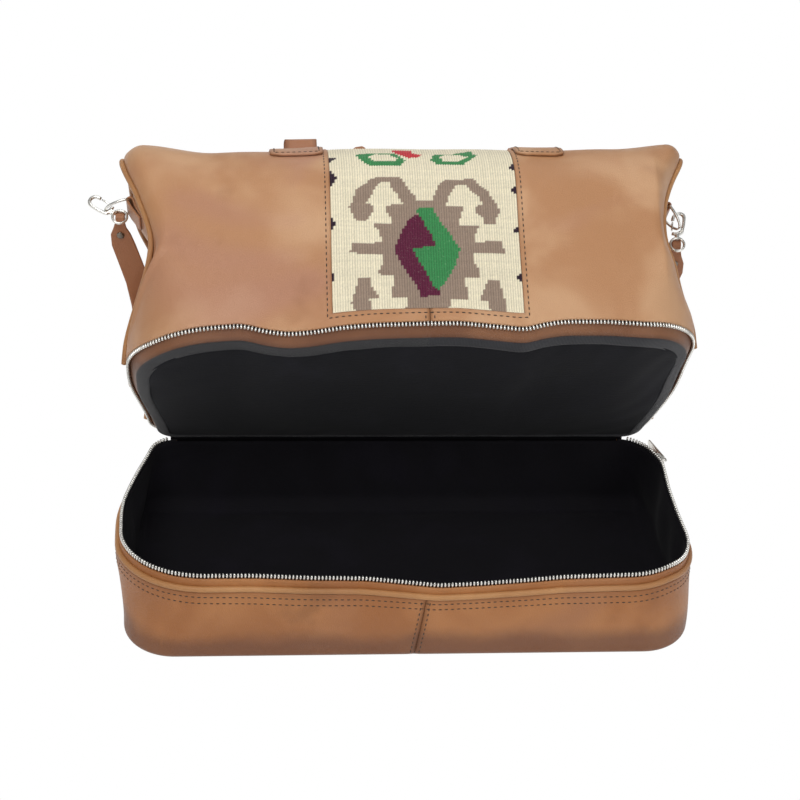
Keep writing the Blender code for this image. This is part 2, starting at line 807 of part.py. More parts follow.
def make_hem(upper):
    """Leather behind the upper teeth: upright at its top, then sloping in and down to the divider's edge."""
    outer = [(INNER_FACING_INSET, HEM_TOP)]
    outer += [(INNER_FACING_INSET + inset, height) for inset, height in HEM_SLOPE]
    section = outer + [(inset + FACING_THICKNESS, height) for inset, height in reversed(outer)]
    runs = [hung_outline(front_run(rim_outline(inset))) for inset, _ in section]
    rings = []
    for i in range(len(runs[0])):
        rings.append([Vector((*run[i], height)) for run, (_, height) in zip(runs, section)])
    loft("upper_zip_facing", rings, "base_leather", upper)


def make_hinge_strip():
    """Leather over the hinge line: flat on the tray's back, bent at the axis, flat on the upper bag's."""
    turn = math.radians(OPEN_ANGLE)
    away = Vector((0.0, math.sin(turn), math.cos(turn)))
    axis = Vector((0.0, HINGE_Y, ZIP_LINE_HEIGHT))
    shift = 0.5 * HINGE_STRIP_THICKNESS + LAYER_GAP - HINGE_OFFSET
    normal_up = Vector((0.0, math.cos(turn), -math.sin(turn)))
    middle = (Vector((0.0, 1.0, 0.0)) + normal_up).normalized()
    low = axis + Vector((0.0, shift, -HINGE_STRIP_REACH))
    near_low = axis + Vector((0.0, shift, -0.002))
    bend = axis + middle * shift
    near_high = axis + away * 0.002 + normal_up * shift
    high = axis + away * HINGE_STRIP_REACH + normal_up * shift
    along = Vector((1.0, 0.0, 0.0))
    rings = strip_rings([low, near_low, bend, near_high, high], along, 2 * HINGE_STRIP_HALF_LENGTH,
                        HINGE_STRIP_THICKNESS)
    loft("hinge_strip", rings, "base_leather")


# Top zip

def make_top_zip(upper):
    end = TOP_HALF_LENGTH - TOP_ZIP_END
    teeth_z = UPPER_HEIGHT - TOP_TEETH_SINK - TOP_TEETH_DEPTH / 2
    size = (2 * end, TOP_TEETH_WIDTH, TOP_TEETH_DEPTH)
    block("top_zip_teeth", size, hung(0.0, 0.0, teeth_z), "metal", upper)
    tape_z = UPPER_HEIGHT - KILIM_RECESS - KILIM_THICKNESS - LAYER_GAP - TAPE / 2
    near = TOP_TEETH_WIDTH / 2 + LAYER_GAP
    for name, side in (("front", -1), ("back", 1)):
        centre = hung(0.0, side * (near + TOP_TAPE_WIDTH / 2), tape_z)
        block("top_zip_tape_" + name, (2 * end, TOP_TAPE_WIDTH, TAPE), centre, "lining", upper)
    for name, sign in (("left", -1), ("right", 1)):
        make_zip_end(name, sign, upper)


def make_zip_end(name, sign, upper):
    """Leather that closes the slot beyond the zip's last tooth and turns down over the end."""
    start = TOP_HALF_LENGTH - TOP_ZIP_END + LAYER_GAP
    width = TOP_SLOT_HALF_WIDTH - SEAM_GAP
    radius = EDGE_RADIUS
    half = TOP_HALF_LENGTH
    columns = [(start, 0.0), (mix(start, half - radius, 0.5), 0.0)]
    for turn in ZIP_END_TURN:
        angle = math.radians(turn)
        columns.append((half - radius + radius * math.sin(angle), radius * (1.0 - math.cos(angle))))
    rows = []
    for y in (-width, width):
        rows.append([hung(sign * x, y, UPPER_HEIGHT - drop) for x, drop in columns])
    sheet("zip_end_" + name, rows, LEATHER, "tan_leather", upper, flip=sign < 0)


def make_slider(name, carrier):
    """A slider plate with a wire bridge over it. The pull's bar turns under the bridge."""
    size = (SLIDER_LENGTH, SLIDER_WIDTH, SLIDER_THICKNESS)
    body = block(name, size, (0.0, 0.0, SLIDER_THICKNESS / 2), "metal", carrier)
    path = []
    for i in range(9):
        angle = math.pi * i / 8
        rise = SLIDER_THICKNESS + BRIDGE_RADIUS * math.sin(angle)
        path.append(Vector((BRIDGE_RADIUS * math.cos(angle), 0.0, rise)))
    path.insert(0, Vector((BRIDGE_RADIUS, 0.0, SLIDER_THICKNESS - BRIDGE_SINK)))
    path.append(Vector((-BRIDGE_RADIUS, 0.0, SLIDER_THICKNESS - BRIDGE_SINK)))
    bridge = made_mesh(wire(name + "_bridge", path, BRIDGE_WIRE, "metal", carrier))
    return join(body, bridge)


def pull_bar_height():
    return SLIDER_THICKNESS + BRIDGE_RADIUS - BRIDGE_WIRE - PULL_PLAY - PULL_BAR / 2


def make_pull(name, carrier, length, width, material_name):
    """A flat pull with a window. Its lowest bar lies under the bridge, along Y, at the pivot."""
    half = width / 2
    hole = half - PULL_RAIL
    rail = PULL_BAR / 2
    outline = [(-half, -rail), (half, -rail), (half, length - half * 0.6), (half * 0.5, length),
               (-half * 0.5, length), (-half, length - half * 0.6)]
    window = [(-hole, rail), (hole, rail), (hole, rail + PULL_WINDOW), (-hole, rail + PULL_WINDOW)]
    curve = bpy.data.curves.new(name, "CURVE")
    curve.dimensions = "2D"
    curve.fill_mode = "BOTH"
    curve.extrude = PULL_THICKNESS / 2
    for loop in (outline, window):
        spline = curve.splines.new("POLY")
        spline.points.add(len(loop) - 1)
        for knot, (across, along) in zip(spline.points, loop):
            knot.co = (across, along, 0.0, 1.0)
        spline.use_cyclic_u = True
    curve.materials.append(material(material_name))
    item = bpy.data.objects.new(name, curve)
    item.rotation_euler = (math.radians(90.0), 0.0, math.radians(90.0))
    item.parent = carrier
    PARTS.objects.link(item)
    return made_mesh(item)


def make_top_sliders(upper):
    names = ("left", "right")
    leathers = ("dark_metal", "edge_leather")
    for name, x, length, tilt, finish in zip(names, TOP_SLIDER_X, TOP_PULL_LENGTH, TOP_PULL_TILT, leathers):
        seat = hung(x, 0.0, UPPER_HEIGHT - TOP_TEETH_SINK + WIRE_GAP)
        carrier = pivot("top_slider_" + name + "_carrier", seat, parent=upper)
        make_slider("top_slider_" + name, carrier)
        turn = pivot("top_pull_" + name + "_pivot", (0.0, 0.0, pull_bar_height()), (0.0, tilt, 0.0), carrier)
        make_pull("top_pull_" + name, turn, length, TOP_PULL_WIDTH, finish)


def make_base_slider():
    """It stands on the outside of the right wall's zip facing, at the zip's open end."""
    x = HALF_LENGTH - BASE_FACING_INSET + WIRE_GAP
    z = TEETH_TOP - WIRE_GAP - SLIDER_WIDTH / 2
    carrier = pivot("compartment_slider_carrier", (x, BASE_SLIDER_Y, z), (90.0, 0.0, 90.0))
    make_slider("compartment_slider", carrier)
    tilt = (0.0, BASE_PULL_TILT, 0.0)
    turn = pivot("compartment_pull_pivot", (0.0, 0.0, pull_bar_height()), tilt, carrier)
    make_pull("compartment_pull", turn, BASE_PULL_LENGTH, BASE_PULL_WIDTH, "metal")


# Tabs, rings and handles

def folded_tab(path, normals, bar_radius, returned):
    """Centre line of a strap that lies on a surface, folds round a bar and lies back on itself."""
    reach = bar_radius + WIRE_GAP + TAB_THICKNESS / 2
    line = [point + normal * (LAYER_GAP + TAB_THICKNESS / 2) for point, normal in zip(path, normals)]
    end, normal = line[-1], normals[-1]
    forward = (line[-1] - line[-2]).normalized()
    centre = end + normal * reach
    loop = []
    for i in range(1, 7):
        angle = math.pi * i / 6
        loop.append(centre + forward * (reach * math.sin(angle)) - normal * (reach * math.cos(angle)))
    back = []
    for i in range(len(line) - 2, len(line) - 2 - returned, -1):
        ease = smooth((len(line) - 1 - i) / 2)
        lift = mix(2 * reach, TAB_THICKNESS + LAYER_GAP, ease)
        back.append(line[i] + normals[i] * lift)
    return line + loop + back, centre


def handle_tab_path(side):
    """Points on the shoulder and the flat top, from the tab's outer end to the ring's bar."""
    path, normals = [], []
    for i in range(5):
        angle = math.radians(90.0 - HANDLE_TAB_ARC * (1.0 - i / 4))
        normal = Vector((0.0, side * math.cos(angle), math.sin(angle)))
        centre = hung(0.0, side * FLAT_HALF_DEPTH, UPPER_HEIGHT - SHOULDER_RADIUS)
        path.append(centre + normal * SHOULDER_RADIUS)
        normals.append(normal)
    path.append(hung(0.0, side * HANDLE_HINGE_Y, UPPER_HEIGHT))
    normals.append(Vector((0.0, 0.0, 1.0)))
    return path, normals


def ring_path(width, length, corner):
    """A flat rectangular ring with rounded corners. One bar lies on the X axis, the other at length."""
    points = []
    half = width / 2 - corner
    for cx, cy, start in ((half, corner, -90), (half, length - corner, 0), (-half, length - corner, 90),
                          (-half, corner, 180)):
        for i in range(4):
            angle = math.radians(start + 30 * i)
            points.append(Vector((cx + corner * math.cos(angle), 0.0, cy + corner * math.sin(angle))))
    return points


def handle_points():
    """Right half of a handle's centre line: curled round the ring's far bar, up, and over the arch."""
    reach = HANDLE_RING_WIRE + WIRE_GAP + HANDLE_END_THICKNESS / 2
    points = []
    for i in range(9):
        angle = math.radians(-35.0 - 235.0 * i / 8)
        rise = HANDLE_RING_LENGTH + reach * math.cos(angle)
        points.append((Vector((HANDLE_HALF_SPAN, reach * math.sin(angle), rise)), 0.0))
    for share in (0.35, 0.65):
        rise = HANDLE_RING_LENGTH + HANDLE_END_LENGTH * share
        offset = reach * (1.0 - smooth(share / 0.65))
        points.append((Vector((HANDLE_HALF_SPAN, offset, rise)), smooth(share - 0.3)))
    foot = HANDLE_RING_LENGTH + HANDLE_END_LENGTH
    for i in range(9):
        angle = math.pi / 2 * i / 8
        centre = Vector((HANDLE_HALF_SPAN * math.cos(angle), 0.0, foot + HANDLE_RISE * math.sin(angle)))
        points.append((centre, 1.0 if i else 0.75))
    return points


def handle_rings():
    """Sections of the whole handle: a flat strap at its ends, round between them."""
    right = handle_points()
    left = [(Vector((-point.x, point.y, point.z)), share) for point, share in reversed(right[:-1])]
    whole = right + left
    points = [point for point, _ in whole]
    rings = []
    for point, tangent, (_, share) in zip(points, tangents(points), whole):
        if share > 0.0:
            up = Vector((0.0, 1.0, 0.0))
            up = (up - tangent * up.dot(tangent)).normalized()
            across = tangent.cross(up)
        else:
            across = Vector((1.0, 0.0, 0.0)) if point.x > 0.0 else Vector((-1.0, 0.0, 0.0))
            up = across.cross(tangent)
        width = mix(HANDLE_END_WIDTH, HANDLE_DIAMETER, share) / 2
        height = mix(HANDLE_END_THICKNESS, HANDLE_DIAMETER, share) / 2
        ring = []
        for i in range(8):
            angle = math.radians(22.5 + 45.0 * i)
            power = mix(0.35, 1.0, share)
            cos = math.copysign(abs(math.cos(angle)) ** power, math.cos(angle))
            sin = math.copysign(abs(math.sin(angle)) ** power, math.sin(angle))
            ring.append(point + across * (width * cos) + up * (height * sin))
        rings.append(ring)
    return rings


def make_handles(upper):
    along = Vector((1.0, 0.0, 0.0))
    for end, side in (("front", -1), ("back", 1)):
        path, normals = handle_tab_path(side)
        line, bar = folded_tab(path, normals, HANDLE_RING_WIRE, 3)
        for name, sign in (("left", -1), ("right", 1)):
            shift = Vector((sign * HANDLE_HALF_SPAN, 0.0, 0.0))
            rings = strip_rings([point + shift for point in line], along, HANDLE_TAB_WIDTH, TAB_THICKNESS)
            loft("handle_tab_" + end + "_" + name, rings, "tan_leather", upper)
        turn = pivot("handle_" + end + "_pivot", bar, (-HANDLE_REST[end], 0.0, 0.0), upper)
        for name, sign in (("left", -1), ("right", 1)):
            ring = ring_path(HANDLE_RING_WIDTH, HANDLE_RING_LENGTH, RING_CORNER)
            shift = Vector((sign * HANDLE_HALF_SPAN, 0.0, 0.0))
            wire("handle_ring_" + end + "_" + name, [point + shift for point in ring], HANDLE_RING_WIRE,
                 "dark_metal", turn, cyclic=True)
        loft("handle_" + end, handle_rings(), "tan_leather", turn)


# Side tabs, D-rings, snap hooks and the shoulder strap

def end_face_between(low, high):
    """x and height up the flat middle of an end panel, at its own rows and at the two heights given."""
    middle = END_COLUMNS // 2
    rows = [row[middle] for row in end_rows(0.0, profile()[:-1], END_COLUMNS, END_SEAM_GAP)]
    line = []
    for first, second in zip(rows, rows[1:]):
        for height in (low, high):
            if first.z < height <= second.z:
                line.append((mix(first.x, second.x, (height - first.z) / (second.z - first.z)), height))
        if low < second.z < high:
            line.append((second.x, second.z))
    return sorted(line, key=lambda point: point[1])


def side_tab_line(sign):
    line = end_face_between(SIDE_TAB_FOOT, SIDE_TAB_TOP)
    path = [hung(sign * x, 0.0, height) for x, height in line]
    normals = [Vector((sign * tangent.z, 0.0, -sign * tangent.x)) for tangent in tangents(path)]
    return folded_tab(path, normals, D_RING_WIRE, 2)


def d_ring_path():
    """A D lying in the XY plane: its straight bar on the Y axis, its bow towards +X."""
    points = []
    half = D_RING_WIDTH / 2
    for i in range(13):
        angle = math.radians(-90.0 + 15.0 * i)
        points.append(Vector((D_RING_REACH * math.cos(angle), half * math.sin(angle), 0.0)))
    return points


def hook_path():
    """Body and hook of a snap hook in the XZ plane, round the slot that the gate closes."""
    bow = HOOK_NECK + HOOK_SHANK
    points = [Vector((HOOK_NECK, 0.0, 2 * HOOK_THROAT)), Vector((HOOK_NECK, 0.0, 0.0))]
    points.append(Vector((bow, 0.0, 0.0)))
    for i in range(1, 8):
        angle = math.radians(180.0 * i / 7)
        x = bow + HOOK_THROAT * math.sin(angle)
        points.append(Vector((x, 0.0, HOOK_THROAT - HOOK_THROAT * math.cos(angle))))
    points.append(Vector((bow - HOOK_TIP, 0.0, 2 * HOOK_THROAT)))
    return points


def eye_path():
    """The round swivel eye. The neck starts at the origin's height over the slot's middle line."""
    points = []
    for i in range(14):
        angle = 2 * math.pi * i / 14
        x = -EYE_RADIUS + EYE_RADIUS * math.cos(angle)
        points.append(Vector((x, 0.0, HOOK_THROAT + EYE_RADIUS * math.sin(angle))))
    return points


def make_hook(name, carrier):
    eye = made_mesh(wire("snap_hook_" + name, eye_path(), EYE_WIRE, "metal", carrier, cyclic=True))
    shank = made_mesh(wire("snap_shank_" + name, hook_path(), HOOK_WIRE, "metal", carrier, resolution=2))
    neck_line = [Vector((-0.0002, 0.0, HOOK_THROAT)), Vector((HOOK_NECK, 0.0, HOOK_THROAT))]
    neck = made_mesh(wire("snap_neck_" + name, neck_line, HOOK_WIRE * 1.1, "metal", carrier, resolution=2))
    join(eye, shank)
    join(eye, neck)
    foot = Vector((HOOK_NECK + HOOK_WIRE + WIRE_GAP + 0.0002, 0.0, 2 * HOOK_THROAT))
    tip = Vector((HOOK_NECK + HOOK_SHANK - HOOK_TIP - WIRE_GAP, 0.0, 2 * HOOK_THROAT))
    turn = pivot("hook_gate_" + name + "_pivot", foot, parent=carrier)
    wire("hook_gate_" + name, [Vector((0.0, 0.0, 0.0)), tip - foot], GATE_RADIUS, "metal", turn)


def curve_through(points, steps):
    """Catmull-Rom curve through the points."""
    ends = [points[0] * 2 - points[1]] + points + [points[-1] * 2 - points[-2]]
    line = []
    for i in range(1, len(ends) - 2):
        a, b, c, d = ends[i - 1:i + 3]
        for k in range(steps):
            t = k / steps
            line.append(0.5 * (2 * b + (c - a) * t + (2 * a - 5 * b + 4 * c - d) * t * t
                               + (3 * b - a - 3 * c + d) * t ** 3))
    line.append(points[-1])
    return line


def make_side_hardware(upper, name, sign):
    """One end's tab, D-ring and snap hook. Returns the middle of the hook's eye, as it lies."""
    line, bar = side_tab_line(sign)
    across = Vector((0.0, 1.0, 0.0))
    loft("side_tab_" + name, strip_rings(line, across, SIDE_TAB_WIDTH, TAB_THICKNESS), "tan_leather", upper)
    facing = 0.0 if sign > 0 else 180.0
    turn = pivot("d_ring_" + name + "_pivot", bar, (0.0, D_RING_DROP[name], facing), upper)
    wire("d_ring_" + name, d_ring_path(), D_RING_WIRE, "metal", turn, cyclic=True)
    carrier = pivot("snap_hook_" + name + "_seat", (0.0, 0.0, 0.0), parent=upper)
    bow = Matrix.Translation(turn.location) @ turn.rotation_euler.to_matrix().to_4x4()
    bow = bow @ Vector((D_RING_REACH, 0.0, 0.0))
    play = HOOK_WIRE + D_RING_WIRE + WIRE_GAP
    seat = Vector((HOOK_NECK + play + HOOK_SLACK[name], 0.0, play))
    aim = Matrix.Rotation(math.radians(facing), 4, "Z") @ Matrix.Rotation(math.radians(-HOOK_RISE[name]), 4, "Y")
    carrier.matrix_local = Matrix.Translation(bow) @ aim @ Matrix.Translation(-seat)
    make_hook(name, carrier)
    bpy.context.view_layer.update()
    return carrier.matrix_world @ Vector((-EYE_RADIUS, 0.0, HOOK_THROAT))


def strap_end(eye, down):
    """The strap's end, curled round the bottom of the hook's eye and leaving on its front side."""
    front = Vector((0.0, down.z, -down.y))
    if front.y > 0.0:
        front.negate()
    low = eye - Vector((0.0, -UPPER_LEAN.y, UPPER_LEAN.z)) * EYE_RADIUS
    points = []
    for i in range(8):
        angle = math.radians(255.0 * (1.0 - i / 7))
        points.append(low + (front * math.cos(angle) - down * math.sin(angle)) * STRAP_CURL_RADIUS)
    return points


def make_strap(ends):
    """It hangs from both eyes in one long loop behind the tray, clear of the ground."""
    down = Vector((0.0, 0.20, -1.0)).normalized()
    left_end, right_end = [strap_end(eye, down) for eye in ends]
    left, right = left_end[-1], right_end[-1]
    low = STRAP_LOW_POINT
    back = STRAP_BACK_Y
    middle = [
        left + down * 0.030,
        Vector((left.x + 0.006, mix(left.y, back, 0.75), 0.200)),
        Vector((left.x + 0.014, back, 0.140)),
        Vector((-0.215, back, 0.068)),
        Vector((-0.115, back, low + 0.008)),
        Vector((0.0, back, low)),
        Vector((0.115, back, low + 0.008)),
        Vector((0.215, back, 0.068)),
        Vector((right.x - 0.016, back, 0.140)),
        Vector((right.x - 0.008, mix(right.y, back, 0.75), 0.200)),
        right + down * 0.030,
    ]
    line = curve_through([left] + middle + [right], 3)
    whole = left_end[:-1] + line + list(reversed(right_end[:-1]))
    run = len(left_end) - 1
    rings, seats = [], []
    for i, (point, tangent) in enumerate(zip(whole, tangents(whole))):
        from_end = min(i, len(whole) - 1 - i) - run
        twist = smooth((from_end - 3) / 9) * math.pi / 2
        across = Vector((math.cos(twist), math.sin(twist), 0.0))
        if i > len(whole) // 2:
            across = Vector((-math.cos(twist), math.sin(twist), 0.0))
        width = mix(STRAP_END_WIDTH, STRAP_WIDTH, smooth(from_end / 3))
        side = (across - tangent * across.dot(tangent)).normalized() * (width / 2)
        up = tangent.cross(side).normalized() * (STRAP_THICKNESS / 2)
        rings.append([point + side + up, point - side + up, point - side - up, point + side - up])
        seats.append((point, tangent, up.normalized()))
    loft("shoulder_strap", rings, "tan_leather")
    make_rivet("left", *seats[run + RIVET_RING])
    make_rivet("right", *seats[-1 - run - RIVET_RING])


def make_rivet(name, seat, down, front):
    """A flat rivet head on the front face of the strap, just below the curled end."""
    if front.y > 0.0:
        front = -front
    side = front.cross(down)
    lift = STRAP_THICKNESS / 2 + LAYER_GAP
    rings = []
    for height, radius in ((0.0, RIVET_RADIUS), (RIVET_HEIGHT * 0.5, RIVET_RADIUS), (RIVET_HEIGHT, RIVET_TOP)):
        centre = seat + front * (lift + height)
        ring = []
        for i in range(12):
            angle = 2 * math.pi * i / 12
            ring.append(centre + side * (radius * math.cos(angle)) + down * (radius * math.sin(angle)))
        rings.append(ring)
    loft("strap_rivet_" + name, rings, "dark_metal")


def make_upper():
    upper = pivot("compartment_hinge", (0.0, HINGE_Y, ZIP_LINE_HEIGHT), (-OPEN_ANGLE, 0.0, 0.0))
    make_divider(upper)
    make_leather_panels(upper)
    make_kilim(upper)
    make_end_panels(upper)
    make_upper_lining(upper)
    make_top_zip(upper)
    make_top_sliders(upper)
    make_handles(upper)
    ends = [make_side_hardware(upper, name, sign) for name, sign in (("left", -1), ("right", 1))]
    make_strap(ends)


make_tray()
make_base_zip()
make_hinge_strip()
make_base_slider()
make_upper()
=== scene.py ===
"""Looks of a leather travel bag, zipped open at the compartment in its base.

Soft pieces are sheets worked out from the bag's own form. Two fields, one for the upper bag and one for
the base, let them sag, so that leather, piping, zips and cloth stay together. Everything is in metres.
"""
import math

import bmesh
import bpy
import numpy as np
from mathutils import Matrix, Vector


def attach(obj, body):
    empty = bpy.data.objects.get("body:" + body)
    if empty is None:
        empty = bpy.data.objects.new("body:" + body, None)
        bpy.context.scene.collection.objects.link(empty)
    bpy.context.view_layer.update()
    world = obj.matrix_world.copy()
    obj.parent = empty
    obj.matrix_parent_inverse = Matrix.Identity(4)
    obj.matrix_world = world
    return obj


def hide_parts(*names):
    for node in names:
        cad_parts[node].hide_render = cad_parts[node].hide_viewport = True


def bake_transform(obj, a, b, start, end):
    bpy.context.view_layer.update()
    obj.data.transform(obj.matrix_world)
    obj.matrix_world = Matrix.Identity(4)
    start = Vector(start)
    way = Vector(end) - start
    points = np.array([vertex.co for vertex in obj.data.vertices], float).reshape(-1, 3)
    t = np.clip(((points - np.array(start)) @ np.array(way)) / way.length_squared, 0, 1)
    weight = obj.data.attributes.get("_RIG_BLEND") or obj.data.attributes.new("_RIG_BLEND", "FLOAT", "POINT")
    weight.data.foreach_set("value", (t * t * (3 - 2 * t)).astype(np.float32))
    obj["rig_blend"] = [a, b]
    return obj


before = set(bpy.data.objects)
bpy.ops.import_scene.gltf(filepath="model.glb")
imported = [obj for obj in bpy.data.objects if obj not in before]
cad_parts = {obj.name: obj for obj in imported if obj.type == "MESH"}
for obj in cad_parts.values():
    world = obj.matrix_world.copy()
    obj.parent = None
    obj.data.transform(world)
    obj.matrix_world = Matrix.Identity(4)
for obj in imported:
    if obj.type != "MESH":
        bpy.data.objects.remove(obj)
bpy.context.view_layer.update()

# Sizes that the solids have
HALF_LENGTH = 0.275
HALF_DEPTH = 0.12825
TRAY_HEIGHT = 0.076
ZIP_LINE = 0.094
UPPER_HEIGHT = 0.225
HINGE_Y = 0.12955
OPEN_TURN = math.radians(55.0)
RIM_RADIUS = (0.078, 0.028)
FLOOR_RADIUS = (0.050, 0.022)
FLOOR_END_TAPER = 0.008
FLOOR_SIDE_TAPER = 0.005
RIM_STRAIGHT = 0.009
TURN_RADIUS = 0.0065
SHOULDER = 0.078
WAIST_HALF_LENGTH = 0.243
WAIST_HEIGHT = 0.110
TOP_HALF_LENGTH = 0.2735
EDGE_RADIUS = 0.016
EDGE_BLEND = 0.085
FOOT_STRAIGHT = 0.018
END_PINCH = 0.012
LEATHER = 0.0022
CLOTH = 0.0009
PANEL_FOOT = 0.0046
SLOT = 0.012
STRAIGHT_TOP = UPPER_HEIGHT - SHOULDER
FLAT_HALF_DEPTH = HALF_DEPTH - SHOULDER
SHOULDER_END = STRAIGHT_TOP + SHOULDER * math.pi / 2
FACE_END = SHOULDER_END + FLAT_HALF_DEPTH - SLOT
KILIM_HALF = 0.0895
KILIM_FOOT = 0.0177
TAB_MIDDLE = 0.119
TAB_WIDTH = 0.050
PULL_X = -0.044
SEAM_GAP = 0.0011

# Sizes of the pieces shown here
TAB_CORNER = 0.007
MIDDLE_GAP = 0.0002
OVERLAP = 0.00025
PIPING_RADIUS = 0.0027
PIPING_OUT = 0.0016
RIM_PIPING_RADIUS = 0.0030
RIM_PIPING_INSET = 0.0012
TOP_ZIP_END = 0.034
TOP_TEETH_DROP = 0.0018
TOP_TAPE = (0.0022, 0.0170)
TOP_TAPE_DROP = 0.0036
FLOOR_GAP = 0.0004
BOARD_LIFT = 0.0026
BOARD_THICKNESS = 0.004
DIVIDER_INSET = 0.0195
DIVIDER_DROP = 0.0110
DIVIDER_BULGE = 0.0070
DIVIDER_CLOTH = 0.0016
LINING_INSET = 0.0075
LINING_TOP = 0.0890
LINING_FLOOR = 0.0092
HINGE_HALF = 0.238
HINGE_REACH = 0.024
HINGE_TURN = 0.003
HINGE_SHIFT = -0.0003
HINGE_OUT = 0.0015

# The hinge line's place, and the bag's sides with their signs
TO_HINGE = np.array([0.0, HINGE_Y, 0.0])
SIDES = (("left", -1), ("right", 1))
FACES = (("front", -1), ("back", 1))

# Stitches and zip teeth. Sizes of one are along, across and up
STITCH_PITCH = 0.0058
STITCH = (0.0037, 0.0012, 0.0009)
STITCH_LIFT = 0.0002
STITCH_GROOVE = 0.0003
SEAM_STITCH = 0.0042
STITCH_HEIGHTS = (0.0712, 0.0650)
TAB_STITCH_LIFT = 0.0034
UP_STEP = 0.001
GROSGRAIN_RIB = 0.0014
TOOTH_PITCH = 0.0034
TOP_TOOTH_PITCH = 0.0032
TOOTH = (0.0021, 0.0034, 0.0056)
TOP_TOOTH = (0.0016, 0.0050, 0.0020)

# Camera, fitted to the photograph's 800 by 800 pixels
AZIMUTH = math.radians(-5.88)
ELEVATION = math.radians(31.23)
ROLL = math.radians(3.10)
DISTANCE = 1.855
FOCAL_PIXELS = 1876.5
PHOTO_WIDTH = 800
SENSOR = 36.0
TARGET = Vector((-0.0088, 0.0500, 0.1834))


# Small maths

def mix(first, second, share):
    return first + (second - first) * share


def smooth(share):
    share = np.clip(share, 0.0, 1.0)
    return share * share * (3.0 - 2.0 * share)


def rise(value, start, length):
    """0 up to start, 1 from start + length on, and smooth between them."""
    return smooth((value - start) / length)


def bell(value, width):
    return np.exp(-(value / width) ** 2)


def wave(table, blur=0.012):
    """A smooth function through a list of places in metres and heights in millimetres."""
    places = np.array([place for place, _ in table])
    heights = np.array([height for _, height in table]) * 0.001
    fine = np.linspace(places[0] - 0.1, places[-1] + 0.1, 801)
    raw = np.interp(fine, places, heights)
    step = fine[1] - fine[0]
    reach = int(3 * blur / step)
    kernel = bell(np.arange(-reach, reach + 1) * step, blur)
    padded = np.pad(raw, reach, mode="edge")
    soft = np.convolve(padded, kernel / kernel.sum(), mode="valid")
    return lambda value: np.interp(value, fine, soft)


# How the bag sags: fields that move every soft piece at a place alike

UPPER_DRIFT = 0.009
BASE_DRIFT = 0.010
BACK_NARROWING = 0.016
FOOT_SPREAD = (0.011, 0.007)
LEFT_BACK_PULL = 0.014
HEM_WAVE = wave([
    (-0.275, -8.0), (-0.252, -10.0), (-0.190, -3.7), (-0.170, -2.0), (-0.150, -8.0), (-0.130, -10.8),
    (-0.110, -9.0), (-0.080, -3.4), (-0.050, -0.6), (0.010, 1.4), (0.030, 1.5), (0.080, -3.8), (0.090, -5.0),
    (0.110, 0.9), (0.130, 3.7), (0.170, 3.8), (0.210, 1.5), (0.250, 7.0), (0.275, 11.0),
], 0.008)
TOP_WAVE = wave([
    (-0.275, -1.0), (-0.250, 0.0), (-0.225, -3.0), (-0.200, -8.0), (-0.160, -7.0), (-0.130, -6.0),
    (-0.085, -1.5), (0.120, -0.5), (0.160, 0.0), (0.200, 3.0), (0.240, 7.0), (0.275, 9.0),
], 0.014)
LEFT_END_WAVE = wave([
    (0.0, 0.0), (0.035, -5.0), (0.07, -4.0), (0.11, 11.0), (0.135, 15.0), (0.165, 14.0), (0.20, 7.0),
    (0.225, 2.0),
])
RIGHT_END_WAVE = wave([(0.0, 0.0), (0.03, 0.0), (0.08, -2.0), (0.15, -3.0), (0.20, 0.0)])
RIM_WAVE = wave([
    (-0.240, 6.0), (-0.200, 7.0), (-0.160, 7.0), (-0.110, 4.0), (-0.060, 3.0), (-0.020, -2.0), (0.010, -6.0),
    (0.050, -4.0), (0.100, 0.0), (0.130, 3.0), (0.200, 5.0), (0.240, 6.0), (0.255, 2.5), (0.264, 0.0),
    (0.300, 0.0),
], 0.007)
LEFT_WALL_WAVE = wave([(-0.130, 5.0), (-0.060, 9.0), (0.000, 11.0), (0.060, 7.0), (0.110, 0.0)])
RIGHT_WALL_WAVE = wave([(-0.120, 0.0), (-0.060, -1.0), (-0.015, -3.0), (0.030, -3.0), (0.070, 0.0)])


